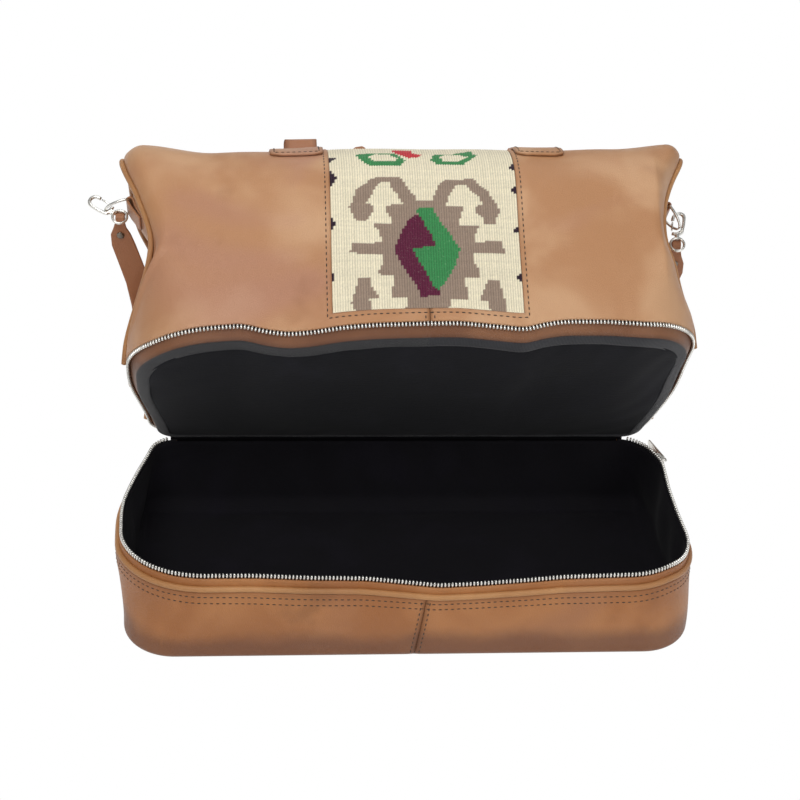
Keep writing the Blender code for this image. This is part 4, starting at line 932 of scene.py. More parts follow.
def thread(name, tone):
    finish = Finish(name, roughness=0.75, sheen_weight=0.2)
    twist = finish.noise(1800.0, 2.0, 0.5)
    finish.give("Base Color", finish.blend(tone, tuple(value * 1.7 for value in tone), twist * 0.6))
    finish.give("Roughness", twist * 0.3 + 0.55)
    finish.bump(twist, 0.0001)
    return finish.material


TAN = leather("tan_leather", (206, 160, 120), (186, 134, 92), (140, 88, 52), (180, 128, 106))
# The base leather's last argument paints shade: darker towards the floor over its lowest 26 mm
BASE_TAN = leather("base_leather", (182, 122, 72), (164, 104, 56), (104, 60, 30), (162, 108, 72),
                   ((112, 68, 42), 0.026, 0.002))
EDGE_TAN = leather("edge_leather", (192, 140, 90), (178, 126, 78), (118, 74, 40), (172, 122, 84))
STRAP_TAN = leather("strap_leather", (190, 138, 102), (168, 114, 80), (112, 68, 44), (170, 120, 100))
# The hem shares the base leather's slot; this darker copy of that leather is painted shade
HEM_TAN_SHADED = leather("hem_leather", (134, 88, 56), (114, 70, 42), (66, 38, 22), (112, 72, 52))
LINING = cloth("black_lining", (9, 7, 13), 900.0, 0.02)
DIVIDER = cloth("black_divider", (15, 15, 20), 700.0, 0.05)
TAPE = cloth("zip_tape", (22, 21, 24), 1200.0, 0.1)
GROSGRAIN = ribbed_tape("grosgrain", (27, 27, 31))
NICKEL = metal("nickel", (232, 230, 224), (176, 172, 164), 0.26)
OLD_METAL = metal("antique_nickel", (128, 120, 110), (66, 58, 50), 0.36)
KILIM = wool("kilim_wool")
THREAD = thread("dark_thread", (48, 34, 22))
BOARD = cloth("grey_board", (70, 62, 52), 300.0, 0.0)

STITCH_TREE = instance_tree("stitches", True)
TOOTH_TREE = instance_tree("teeth", False)


# Upper bag: leather

UPPER_INNER = to_world(np.array([0.0, -HINGE_Y, 0.09]))


def end_inner(sign):
    """A point inside the upper bag near one end."""
    return to_world(np.array([sign * 0.15, -HINGE_Y, 0.10]))


def spread(*runs):
    """Joined runs of places: each is start, end and count."""
    parts = [np.linspace(start, end, count, endpoint=False) for start, end, count in runs]
    return np.concatenate(parts + [np.array([runs[-1][1]])])


def face_rows():
    return spread((PANEL_FOOT, KILIM_FOOT - 0.003, 6), (KILIM_FOOT - 0.003, KILIM_FOOT, 6),
                  (KILIM_FOOT, STRAIGHT_TOP, 74), (STRAIGHT_TOP, SHOULDER_END, 62),
                  (SHOULDER_END, FACE_END, 14))


def leather_panel(name, side, sign, node):
    """One half of the front or the back, from the middle seam round to the end seam."""
    s = face_rows()
    if side < 0:
        near = spread((MIDDLE_GAP, KILIM_HALF - 0.003, 22), (KILIM_HALF - 0.003, KILIM_HALF, 3))[:-1]
        beside = KILIM_HALF + np.array([0.0, 0.0003, 0.0008, 0.0016, 0.0026, 0.0038, 0.0050])
        fixed = np.concatenate([near, beside])
    else:
        fixed = np.array([MIDDLE_GAP, 0.0007, 0.0014, 0.0024, 0.0034, 0.0044, 0.0056])
    reach = edge_reach(s, side)[:, None] - OVERLAP
    share = 1.0 - (1.0 - np.linspace(0.0, 1.0, 96)[1:]) ** 1.15
    outer = fixed[-1] + (reach - fixed[-1]) * share[None, :]
    across = np.concatenate([np.broadcast_to(fixed, (len(s), len(fixed))), outer], axis=1)
    rows = np.broadcast_to(s[:, None], across.shape)
    point, normal = skin(side, rows, sign * across)
    point = point + normal * skin_relief(side, rows, sign * across)[..., None]
    keep = None
    if side < 0:
        middle = (across[1:, 1:] + across[:-1, :-1]) / 2
        high = (rows[1:, 1:] + rows[:-1, :-1]) / 2
        keep = ~((middle < KILIM_HALF) & (high > KILIM_FOOT))
    # Darker at the end seam, the middle seam and the window's edge: wear and painted shade
    wear_and_shade = edge_wear_and_shade(side, rows, sign * across)
    piece = sheet(name, upper_place(point), TAN, UPPER_INNER, LEATHER, keep=keep, attributes={"wear_and_shade": wear_and_shade})
    settle(piece, "upper", "tan_leather", node)


def make_upper_leather():
    for word, sign in SIDES:
        leather_panel("front_leather_" + word, -1, sign, "front_panel_" + word)
        leather_panel("back_leather_" + word, 1, sign, "back_panel_" + word)
        make_end_leather(word, sign)
        make_piping(word, sign)


def make_end_leather(word, sign):
    s = spread((PANEL_FOOT, STRAIGHT_TOP, 60), (STRAIGHT_TOP, SHOULDER_END, 26))
    rows, columns = np.meshgrid(s, np.linspace(0.0, 1.0, 60), indexing="ij")
    point, normal = end_skin(sign, rows, columns)
    beside = np.minimum(columns, 1.0 - columns) * 0.2
    puff = 0.0030 * np.sin(math.pi * columns) ** 2 * np.sin(math.pi * np.clip(rows / 0.25, 0, 1))
    crumple = 0.0016 * np.sin(70.0 * columns * 0.2 + 9.0) * np.sin(48.0 * rows + 1.0)
    crumple = crumple * np.sin(math.pi * columns)
    point = point + normal * (puff + crumple - SEAM_ROLL * np.exp(-beside / 0.0016))[..., None]
    # Darker beside the front and back seams: wear and painted shade
    wear_and_shade = np.exp(-beside / 0.004)
    piece = sheet("end_leather_" + word, upper_place(point), TAN, end_inner(sign), LEATHER,
                  attributes={"wear_and_shade": wear_and_shade})
    settle(piece, "upper", "tan_leather", "end_panel_" + word)


def make_piping(word, sign):
    """Up the front edge of an end, over the top and down its back edge."""
    s = np.concatenate([np.linspace(PANEL_FOOT, SHOULDER_END, 150), [SHOULDER_END + FLAT_HALF_DEPTH * 0.5]])
    runs = []
    for side in (-1, 1):
        point = skin(side, s, sign * edge_reach(s, side))[0]
        point[:, 0] += sign * PIPING_OUT
        runs.append(point)
    path = np.concatenate([runs[0], runs[1][::-1]])
    piece = tube("end_piping_" + word, upper_place(path), PIPING_RADIUS, EDGE_TAN)
    settle(piece, "upper", "edge_leather", "piping_" + word)


# Upper bag: woven panel

RIBS = 75
RIB_COLUMNS = 3
PICK = 0.0019
PICKS = 400
CREAM = (240, 230, 202)
TAUPE = (156, 136, 120)
GREEN = (62, 140, 82)
WINE = (96, 32, 60)
DARK = (48, 30, 46)
SCARLET = (206, 44, 56)
MOTIF_LEFT, MOTIF_RIGHT = 75.0, 1455.0
MOTIF_ROWS = ((1275.0, KILIM_FOOT), (420.0, STRAIGHT_TOP), (345.0, 0.159), (255.0, 0.175), (145.0, 0.201),
              (125.0, 0.237))
HORNS = [
    (590, 335), (375, 345), (345, 385), (300, 410), (265, 430), (240, 515), (210, 570), (235, 620), (260, 655),
    (330, 655), (375, 600), (395, 580), (395, 545), (330, 530), (370, 490), (385, 450), (410, 410), (445, 375),
    (520, 375), (525, 420), (560, 460), (605, 530), (480, 545), (470, 580), (515, 625), (525, 665), (385, 675),
    (395, 710), (430, 740), (440, 815), (235, 820), (205, 890), (445, 897), (440, 950), (425, 1000),
    (400, 1040), (525, 1050), (510, 1120), (490, 1195), (615, 1205), (590, 1290), (910, 1290), (915, 1215),
    (1050, 1210), (1060, 1190), (1045, 1130), (1020, 1060), (1150, 1060), (1135, 985), (1110, 960),
    (1110, 885), (1345, 880), (1355, 860), (1325, 850), (1320, 795), (1115, 810), (1120, 760), (1145, 740),
    (1155, 690), (1010, 685), (1030, 600), (1060, 550), (920, 545), (950, 470), (975, 430), (1010, 385),
    (1080, 390), (1120, 440), (1170, 475), (1200, 530), (1135, 550), (1150, 590), (1190, 620), (1205, 670),
    (1280, 670), (1300, 620), (1330, 580), (1265, 470), (1240, 430), (1195, 400), (1145, 340), (925, 350),
    (870, 400), (855, 440), (830, 490), (830, 510), (710, 505), (700, 480), (660, 440), (620, 380),
]
FIELDS = [
    (TAUPE, HORNS),
    (TAUPE, [(265, 1065), (350, 1065), (355, 1110), (410, 1195), (340, 1205), (355, 1290), (240, 1290),
             (210, 1215), (245, 1130)]),
    (TAUPE, [(1200, 1075), (1285, 1080), (1325, 1210), (1320, 1290), (1210, 1290), (1200, 1215), (1135, 1210),
             (1165, 1140)]),
    (WINE, [(700, 600), (640, 640), (580, 750), (530, 850), (550, 920), (620, 1040), (690, 1140), (710, 1195),
            (840, 1190), (840, 830), (800, 740), (745, 640)]),
    (GREEN, [(720, 560), (820, 555), (880, 670), (945, 760), (1010, 860), (965, 980), (900, 1080), (840, 1150),
             (800, 1120), (740, 1000), (680, 890), (665, 850), (830, 830), (800, 740), (760, 690), (745, 640),
             (700, 590)]),
    (DARK, [(60, 270), (130, 345), (95, 410), (60, 430)]),
    (DARK, [(60, 615), (115, 690), (60, 765)]),
    (DARK, [(60, 1005), (105, 1050), (60, 1115)]),
    (DARK, [(60, 190), (140, 190), (60, 245)]),
    (DARK, [(1470, 222), (1408, 262), (1470, 300)]),
    (DARK, [(1470, 398), (1408, 437), (1470, 475)]),
    (DARK, [(1470, 678), (1408, 717), (1470, 755)]),
    (DARK, [(1470, 1006), (1408, 1045), (1470, 1084)]),
    (GREEN, [(270, 165), (335, 235), (380, 250), (600, 255), (640, 215), (560, 150), (390, 145)]),
    (CREAM, [(360, 190), (420, 222), (560, 225), (585, 200), (520, 165), (420, 160)]),
    (SCARLET, [(555, 139), (690, 139), (770, 160), (745, 185), (660, 195)]),
    (GREEN, [(830, 205), (880, 240), (1080, 235), (1200, 160), (1150, 140), (870, 150)]),
    (CREAM, [(900, 180), (930, 212), (1050, 210), (1120, 175), (1060, 160), (950, 160)]),
]


def inside(px, py, outline):
    """Which points lie inside a closed outline."""
    result = np.zeros(px.shape, bool)
    for (ax, ay), (bx, by) in zip(outline, outline[1:] + outline[:1]):
        if ay == by:
            continue
        crosses = (ay > py) != (by > py)
        result ^= crosses & (px < (bx - ax) * (py - ay) / (by - ay) + ax)
    return result


def kilim_dye_and_groove_shade(rib, pick, crown):
    """Colour of each crossing of rib and pick, in linear values, with painted shade in the grooves between
    ribs and a painted highlight on their crowns.
    """
    px = mix(MOTIF_LEFT, MOTIF_RIGHT, (rib + 0.5) / RIBS)
    places = np.array([s for _, s in MOTIF_ROWS])
    lines = np.array([line for line, _ in MOTIF_ROWS])
    s = KILIM_FOOT + (pick + 0.5) * PICK
    py = np.interp(s, places, lines)
    dye_and_groove_shade = np.zeros(px.shape + (4,))
    dye_and_groove_shade[:] = colour(CREAM)
    for tone, outline in FIELDS:
        dye_and_groove_shade[inside(px, py, outline)] = colour(tone)
    dye_and_groove_shade[s > places[-1]] = colour(CREAM)
    rng = np.random.default_rng(7)
    yarn = rng.normal(1.0, 0.025, PICKS)[np.clip(pick, 0, PICKS - 1).astype(int)]
    rib_tone = rng.normal(1.0, 0.02, RIBS + 1)[rib.astype(int)]
    heather = rng.normal(1.0, 0.05, px.shape)
    # Yarn, rib and heather tones vary at random; the crown factor paints shade into the grooves and light onto
    # the crowns
    shade = yarn * rib_tone * heather * mix(0.72, 1.04, crown)
    dye_and_groove_shade[..., :3] = np.clip(dye_and_groove_shade[..., :3] * shade[..., None], 0.0, 1.0)
    return dye_and_groove_shade


def make_kilim():
    """The woven panel: rounded ribs side by side, with the picks' colours along them."""
    span = KILIM_HALF - 0.0001
    across = np.linspace(-span, span, RIBS * RIB_COLUMNS + 1)
    s = np.linspace(KILIM_FOOT + 0.0001, FACE_END, 300)
    rows, columns = np.meshgrid(s, across, indexing="ij")
    turn = (columns + span) / (2 * span) * RIBS
    rib = np.clip(np.floor(turn + 1e-6), 0, RIBS - 1)
    crown = np.abs(np.sin(math.pi * turn)) ** 0.7
    pick = np.floor((rows - KILIM_FOOT) / PICK)
    wobble = 0.00006 * np.sin(pick * 2.1 + rib * 1.7)
    relief = -0.0012 + 0.00085 * crown + wobble
    point, normal = skin(-1, rows, columns)
    point = point + normal * relief[..., None]
    dye_and_groove_shade = kilim_dye_and_groove_shade(rib, pick, crown)
    piece = sheet("woven_front", upper_place(point), KILIM, UPPER_INNER, 0.0, attributes={"dye_and_groove_shade": dye_and_groove_shade})
    settle(piece, "upper", "kilim_wool", "kilim_panel")


# Upper bag: linings, hem and divider

def make_upper_lining():
    """Cloth inside the upper bag, held well inside the leather."""
    s = spread((0.010, STRAIGHT_TOP, 24), (STRAIGHT_TOP, SHOULDER_END, 18),
               (SHOULDER_END, FACE_END - 0.001, 4))
    for word, side in FACES:
        across = edge_reach(s, side)[:, None] * np.linspace(-1.0, 1.0, 80)[None, :]
        rows = np.broadcast_to(s[:, None], across.shape)
        point = skin(side, rows, across, LINING_INSET)[0]
        piece = sheet("lining_cloth_" + word, upper_place(point), LINING, UPPER_INNER, CLOTH)
        settle(piece, "upper", "lining", "lining_" + word)
    for word, sign in SIDES:
        rows, columns = np.meshgrid(s[s < SHOULDER_END], np.linspace(0.0, 1.0, 24), indexing="ij")
        point = end_skin(sign, rows, columns, LINING_INSET)[0]
        piece = sheet("lining_cloth_end_" + word, upper_place(point), LINING, end_inner(sign), CLOTH)
        settle(piece, "upper", "lining", "lining_end_" + word)


HEM = ((0.0034, 0.0090), (0.0034, 0.0046), (0.0036, 0.0036), (0.0052, 0.0014), (0.0068, -0.0014),
       (0.0084, -0.0044), (0.0098, -0.0072), (0.0104, -0.0086))
WELT = ((0.0100, -0.0082), (0.0112, -0.0092), (0.0140, -0.0104), (0.0180, -0.0114), (0.0214, -0.0120),
        (0.0222, -0.0114))


def hung_rows(section, outline):
    """Rows of a band round the hem. Section is insets and heights."""
    return np.stack([at_height(outline(inset), height) for inset, height in section]) - TO_HINGE


def run_length(points):
    """Distance along each row of points from its first one."""
    step = np.linalg.norm(np.diff(points, axis=1), axis=2)
    return np.concatenate([np.zeros((len(points), 1)), np.cumsum(step, axis=1)], axis=1)


def make_hem():
    points = hung_rows(HEM, front_plan)
    # Darker along the hem's lower edge, against the welt: wear and painted shade
    wear_and_shade = np.zeros(points.shape[:2])
    wear_and_shade[-2:] = 0.8
    above = to_world(np.array([0.0, -HINGE_Y, 0.05]))
    # The hem's darker leather is painted shade
    piece = sheet("hem_leather", upper_place(points), HEM_TAN_SHADED, above, 0.0012, attributes={"wear_and_shade": wear_and_shade})
    settle(piece, "upper", "base_leather", "upper_zip_facing")
    whole = hung_rows(WELT, lambda inset: whole_plan(TRAY_HEIGHT, inset))
    run = run_length(np.concatenate([whole, whole[:, :1]], axis=1))[:, :-1]
    ripple = 0.0004 * np.sin(run * 52.0) + 0.0002 * np.sin(run * 121.0 + 1.0)
    whole[..., 2] += ripple * np.linspace(0.0, 1.0, len(WELT))[:, None]
    piece = sheet("hem_grosgrain", upper_place(whole), GROSGRAIN, above, 0.0008, closed=True,
                  attributes={"run": run})
    settle(piece, "upper", "webbing", "divider_welt")


def make_divider():
    """Black cloth under the upper bag. It bulges between its sewn edges, with soft folds from them."""
    rings = []
    edge = whole_plan(TRAY_HEIGHT, DIVIDER_INSET)
    for k in np.linspace(0.0, 1.0, 46)[:-1]:
        x = edge[:, 0] * (1.0 - k)
        y = edge[:, 1] * (1.0 - k)
        across = np.abs(x) / edge[:, 0].max()
        along = np.abs(y) / edge[:, 1].max()
        bulge = DIVIDER_BULGE * (1.0 - across ** 5) * (1.0 - along ** 4)
        pull = np.exp(-k / 0.10) * smooth(k * 20.0)
        folds = 0.0007 * pull * np.sin(140.0 * (x + y) + 3.0 * np.sin(24.0 * (x - y)))
        broad = 0.0014 * np.sin(x * 24.0 + 0.8) * np.sin(y * 37.0 + 0.4) * smooth(k * 3.0)
        rings.append(np.stack([x, y - HINGE_Y, -DIVIDER_DROP - bulge + folds + broad], axis=-1))
    above = to_world(np.array([0.0, -HINGE_Y, 0.2]))
    piece = lidded_sheet("divider_cloth", rings, DIVIDER, upper_place, above, DIVIDER_CLOTH)
    settle(piece, "upper", "lining", "divider_panel")


# Zips

def band(name, inset, low, high, thickness, material, place, inner, rows=4):
    """A strip round the front and both ends, between two heights."""
    edge = front_plan(inset)
    points = np.stack([at_height(edge, height) for height in np.linspace(low, high, rows)])
    return sheet(name, place(points), material, inner, thickness)


def teeth_run(inset, height, place):
    """Places of the teeth round the front and both ends."""
    edge = front_plan(inset)[2:-2]
    low = place(at_height(edge, height))
    high = place(at_height(edge, height + 0.002))
    return resample(low, high - low, TOOTH_PITCH)


def upper_plan_place(points):
    return upper_place(points - TO_HINGE)


def make_compartment_zip():
    inner = (0.0, 0.0, 0.085)
    piece = band("zip_facing", 0.0026, 0.070, 0.0890, 0.0012, BASE_TAN, base_place, inner, 10)
    settle(piece, "base", "base_leather", "base_zip_facing")
    piece = band("zip_tape_low", 0.0046, 0.0788, 0.0905, 0.0007, TAPE, base_place, inner)
    settle(piece, "base", "lining", "base_zip_tape")
    piece = repeated("zip_teeth_low", teeth_run(0.0044, 0.0916, base_place), TOOTH, TOOTH_TREE, NICKEL)
    settle(piece, "base", "metal", "base_zip_teeth")
    piece = band("zip_tape_high", 0.0027, 0.0028, 0.0140, 0.0006, TAPE, upper_plan_place, UPPER_INNER)
    settle(piece, "upper", "lining", "upper_zip_tape")
    places = teeth_run(0.0019, 0.0026, upper_plan_place)
    piece = repeated("zip_teeth_high", places, TOOTH, TOOTH_TREE, NICKEL)
    settle(piece, "upper", "metal", "upper_zip_teeth")


def make_top_zip():
    end = TOP_HALF_LENGTH - TOP_ZIP_END
    x = np.linspace(-end, end, 160)
    height = UPPER_HEIGHT - TOP_TEETH_DROP
    low, high = upper_place(along_x(x, [(-HINGE_Y, height), (-HINGE_Y, height + 0.002)]))
    piece = repeated("top_zip_teeth_row", resample(low, high - low, TOP_TOOTH_PITCH), TOP_TOOTH, TOOTH_TREE,
                     NICKEL)
    settle(piece, "upper", "metal", "top_zip_teeth")
    for word, side in FACES:
        columns, rows = np.meshgrid(x, side * np.linspace(*TOP_TAPE, 5), indexing="ij")
        points = np.stack([columns, rows - HINGE_Y, 0 * rows + UPPER_HEIGHT - TOP_TAPE_DROP], -1)
        piece = sheet("top_tape_" + word, upper_place(points), TAPE, UPPER_INNER, 0.0008)
        settle(piece, "upper", "lining", "top_zip_tape_" + word)
    for word, _ in SIDES:
        refined("zip_end_leather_" + word, "zip_end_" + word, TAN, "upper", "tan_leather", 0.0005)


# Base


def wall_relief(x, y, z):
    """Fullness of the wall between its foot and its rim, with slow dents, the middle seam and stitch rows."""
    full = 0.0022 * np.sin(math.pi * np.clip(z / 0.080, 0.0, 1.0))
    dents = 0.0011 * np.sin(21.0 * x + 0.7) * np.sin(40.0 * z + 30.0 * y)
    seam = -0.0008 * np.exp(-np.abs(x) / 0.0012) - STITCH_GROOVE * bell(np.abs(x) - SEAM_STITCH, 0.0008)
    rows = 0.0
    for height in STITCH_HEIGHTS:
        rows = rows - STITCH_GROOVE * bell(z - height, 0.0009)
    return full + dents * smooth(z / 0.02) + seam + rows


def wall_rows():
    """Heights and insets up the wall: the turn at its foot, then the upright part."""
    turn = np.radians(np.linspace(0.0, 90.0, 9))[:-1]
    foot = [(TURN_RADIUS - TURN_RADIUS * math.cos(a), TURN_RADIUS - TURN_RADIUS * math.sin(a)) for a in turn]
    upright = [(height, 0.0) for height in np.linspace(TURN_RADIUS, TRAY_HEIGHT + 0.0006, 34)]
    return foot + upright


def base_wall_points(sign):
    rows = []
    for height, inset in wall_rows():
        edge = plan(height, inset)
        edge[0, 0] = MIDDLE_GAP
        edge[-1, 0] = MIDDLE_GAP
        relief = wall_relief(sign * edge[:, 0], edge[:, 1], height)
        rows.append(at_height(edge, height, relief) * np.array([sign, 1.0, 1.0]))
    return np.stack(rows)


def make_base_walls():
    for word, sign in SIDES:
        points = base_wall_points(sign)
        # Darker under the lip bead and at the middle seam: wear and painted shade
        rim = np.exp(-np.abs(TRAY_HEIGHT - points[..., 2]) / 0.003)
        seam = np.exp(-np.abs(points[..., 0]) / 0.0025)
        wear_and_shade = np.clip(np.maximum(rim * 0.6, seam), 0.0, 1.0)
        piece = sheet("wall_leather_" + word, base_place(points), BASE_TAN, (sign * 0.12, 0.0, 0.04), LEATHER,
                      attributes={"wear_and_shade": wear_and_shade})
        settle(piece, "base", "base_leather", "base_wall_" + word)
    path = at_height(front_plan(RIM_PIPING_INSET), TRAY_HEIGHT + RIM_PIPING_RADIUS)
    piece = tube("lip_bead", base_place(path), RIM_PIPING_RADIUS, EDGE_TAN)
    settle(piece, "base", "edge_leather", "base_piping")
    make_floor()


def make_floor():
    """The leather bottom and the stiff board on it."""
    edge = whole_plan(0.0, TURN_RADIUS + FLOOR_GAP)
    for name, node, low, thickness, material, slot in (
            ("bottom_leather", "base_bottom", 0.0, LEATHER, BASE_TAN, "base_leather"),
            ("bottom_board", "base_board", BOARD_LIFT, BOARD_THICKNESS, BOARD, "board")):
        rings = [at_height(edge * (1.0 - k), low) for k in np.linspace(0.0, 1.0, 10)[:-1]]
        piece = lidded_sheet(name, rings, material, base_place, (0.0, 0.0, 0.1), thickness)
        settle(piece, "base", slot, node)


def make_base_lining():
    """A loose tub of black cloth: it hangs from the zip and lies in soft folds on the floor."""
    rings = []
    heights = np.concatenate([np.linspace(LINING_TOP, 0.018, 16), [0.014, 0.011, LINING_FLOOR]])
    for height in heights:
        turn = 0.0 if height > 0.02 else (0.020 - height) * 0.9
        edge = whole_plan(height, 0.0060 + turn)
        around = np.arange(len(edge)) / len(edge) * 2 * math.pi
        hang = np.sin(math.pi * np.clip((LINING_TOP - height) / 0.075, 0.0, 1.0))
        folds = 0.0016 * (np.sin(around * 31.0 + 3.0 * np.sin(around * 4.0)) + 1.0) * hang
        rings.append(at_height(edge, height, -folds))
    last = whole_plan(LINING_FLOOR, 0.0160)
    for k in np.linspace(0.0, 1.0, 24)[1:-1]:
        edge = last * (1.0 - k)
        folds = np.sin(edge[:, 0] * 38.0 + 2.0 * np.sin(edge[:, 1] * 31.0)) + 1.0
        rings.append(at_height(edge, 0.0090 + 0.0012 * folds * smooth(k * 6.0)))
    piece = lidded_sheet("tray_lining", rings, LINING, base_place, (0.0, 0.0, -0.5), CLOTH)
    settle(piece, "base", "lining", "base_lining")


def make_hinge():
    """Leather sewn over the hinge line, bending with it. Its inner side is black cloth."""
    cos, sin = math.cos(OPEN_TURN), math.sin(OPEN_TURN)
    y, z = HINGE_Y + HINGE_OUT, ZIP_LINE
    line = [(y + HINGE_SHIFT, z + t) for t in np.linspace(-HINGE_REACH, -HINGE_TURN, 10)]
    for k in np.linspace(0.0, 1.0, 9)[1:-1]:
        half_turn = OPEN_TURN * k / 2
        bow = 0.0008 * math.sin(math.pi * k)
        out = mix(HINGE_SHIFT, HINGE_SHIFT * cos + HINGE_TURN * sin, k)
        up = mix(-HINGE_TURN, HINGE_TURN * cos - HINGE_SHIFT * sin, k)
        line.append((y + out + bow * math.cos(half_turn), z + up - bow * math.sin(half_turn)))
    for t in np.linspace(HINGE_TURN, HINGE_REACH, 10):
        line.append((y + HINGE_SHIFT * cos + t * sin, z - HINGE_SHIFT * sin + t * cos))
    points = along_x(np.linspace(-HINGE_HALF, HINGE_HALF, 120), line)
    # Darker along both long edges: wear and painted shade
    wear_and_shade = np.zeros(points.shape[:2])
    wear_and_shade[:2] = 0.8
    wear_and_shade[-2:] = 0.8
    piece = sheet("hinge_leather", points, BASE_TAN, (0.0, 0.0, 0.1), 0.0012, attributes={"wear_and_shade": wear_and_shade})
    piece.data.materials.append(LINING)
    piece.modifiers["wall"].material_offset = 1
    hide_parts("hinge_strip")
    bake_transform(piece, "base", "upper", start=(0.0, HINGE_Y, ZIP_LINE - HINGE_TURN),
             end=(0.0, HINGE_Y + HINGE_TURN * sin, ZIP_LINE + HINGE_TURN * cos))


# Hardware, handles and strap

def twisted_pull(points):
    """The leather zip pull, given a quarter twist above its ring, as limp leather takes."""
    hung = to_hung(points)
    above = hung[..., 2] - 0.2300
    angle = math.radians(72.0) * smooth(above / 0.012)
    wider = 1.0 + 0.5 * smooth((above - 0.004) / 0.015)
    dx, dv = hung[..., 0] - PULL_X, (hung[..., 1] + HINGE_Y) * wider
    hung[..., 0] = PULL_X + dx * np.cos(angle) - dv * np.sin(angle)
    hung[..., 1] = dx * np.sin(angle) + dv * np.cos(angle) - HINGE_Y
    return to_world(upper_sag(hung))


def make_hardware():
    """Sliders, pulls, rings, hooks, side tabs and rivets: each is its solid, made finer."""
    for word, _ in SIDES:
        for name, node, body, material, slot, bevel, levels in (
                ("top_slider_body_", "top_slider_", "top_slider_" + word, NICKEL, "metal", 0.0004, 0),
                ("d_ring_wire_", "d_ring_", "d_ring_" + word, NICKEL, "metal", 0.0, 2),
                ("snap_hook_body_", "snap_hook_", "upper", NICKEL, "metal", 0.0, 1),
                ("hook_gate_body_", "hook_gate_", "hook_gate_" + word, NICKEL, "metal", 0.0, 2),
                ("side_tab_leather_", "side_tab_", "upper", STRAP_TAN, "tan_leather", 0.0006, 0),
                ("rivet_head_", "strap_rivet_", "upper", OLD_METAL, "dark_metal", 0.0, 1)):
            refined(name + word, node + word, material, body, slot, bevel, levels)
    for name, node, material, slot, bevel, place in (
            ("top_pull_metal", "top_pull_left", OLD_METAL, "dark_metal", 0.0004, sag_copy),
            ("top_pull_leather", "top_pull_right", STRAP_TAN, "edge_leather", 0.0005, twisted_pull),
            ("compartment_slider_body", "compartment_slider", NICKEL, "metal", 0.0004, base_sag),
            ("compartment_pull_plate", "compartment_pull", NICKEL, "metal", 0.0004, base_sag)):
        refined(name, node, material, node, slot, bevel, place=place)


def make_handles():
    for end, _ in FACES:
        refined("carry_handle_" + end, "handle_" + end, STRAP_TAN, "handle_" + end, "tan_leather", levels=2)
        for word, _ in SIDES:
            name = end + "_" + word
            refined("handle_ring_wire_" + name, "handle_ring_" + name, OLD_METAL, "handle_" + end,
                    "dark_metal", levels=2)
            refined("handle_tab_leather_" + name, "handle_tab_" + name, STRAP_TAN, "upper", "tan_leather",
                    0.0006)


def make_tab_patches():
    """The handles' leather tabs, sewn on down the shoulders."""
    low, high = STRAIGHT_TOP + math.radians(36.0) * SHOULDER, SHOULDER_END
    half = TAB_WIDTH / 2
    seam = half - 0.004
    s = np.linspace(low, high, 26)
    corner = np.clip((low + TAB_CORNER - s) / TAB_CORNER, 0.0, 1.0)
    width = half - TAB_CORNER * (1.0 - np.sqrt(1.0 - corner ** 2))
    stitches = []
    for end, side in FACES:
        for word, sign in SIDES:
            middle = sign * TAB_MIDDLE
            across = middle + width[:, None] * np.linspace(-1.0, 1.0, 24)[None, :]
            rows = np.broadcast_to(s[:, None], across.shape)
            point, normal = skin(side, rows, across)
            # Lower and darker at the tab's border; the darkening is wear and painted shade
            edge = np.exp(-(width[:, None] - np.abs(across - middle)) / 0.002)
            point = point + normal * (0.0033 - 0.0006 * edge)[..., None]
            piece = sheet("tab_patch_%s_%s" % (end, word), upper_place(point), TAN, UPPER_INNER, LEATHER,
                          attributes={"wear_and_shade": edge})
            settle(piece, "upper", "tan_leather")
            for place in (middle - seam, middle + seam):
                run = np.linspace(low + 0.005, high - 0.002, 60)
                stitches.append(seam_on_skin(side, run, place, TAB_STITCH_LIFT, 0.0050))
            foot = middle + np.linspace(-seam, seam, 40)
            stitches.append(seam_on_skin(side, low + 0.0045, foot, TAB_STITCH_LIFT, 0.0050))
    piece = repeated("tab_stitches", np.concatenate(stitches), STITCH, STITCH_TREE, THREAD)
    settle(piece, "upper", "edge_leather")


def make_tab_loop():
    """The front left tab's folded end, which stands a little over the top."""
    x = -TAB_MIDDLE + 0.008 + np.linspace(-0.0155, 0.0155, 14)
    rise_up = [(-0.0565, 0.2255), (-0.0545, 0.2350), (-0.0530, 0.2435)]
    turn = np.linspace(0.0, math.pi, 15)
    bend = [(-0.0485 - 0.0045 * math.cos(a), 0.2445 + 0.0040 * math.sin(a)) for a in turn]
    fall = [(-0.0440, 0.2350), (-0.0430, 0.2290)]
    points = along_x(x, rise_up + bend + fall) - TO_HINGE
    # Darker along both sides: wear and painted shade
    wear_and_shade = np.zeros(points.shape[:2])
    wear_and_shade[:, :2] = 0.7
    wear_and_shade[:, -2:] = 0.7
    piece = sheet("tab_loop_front_left", upper_place(points), STRAP_TAN, UPPER_INNER, 0.0018,
                  attributes={"wear_and_shade": wear_and_shade})
    settle(piece, "upper", "tan_leather")


def make_strap():
    refined("strap_leather", "shoulder_strap", STRAP_TAN, "upper", "tan_leather", 0.0006)


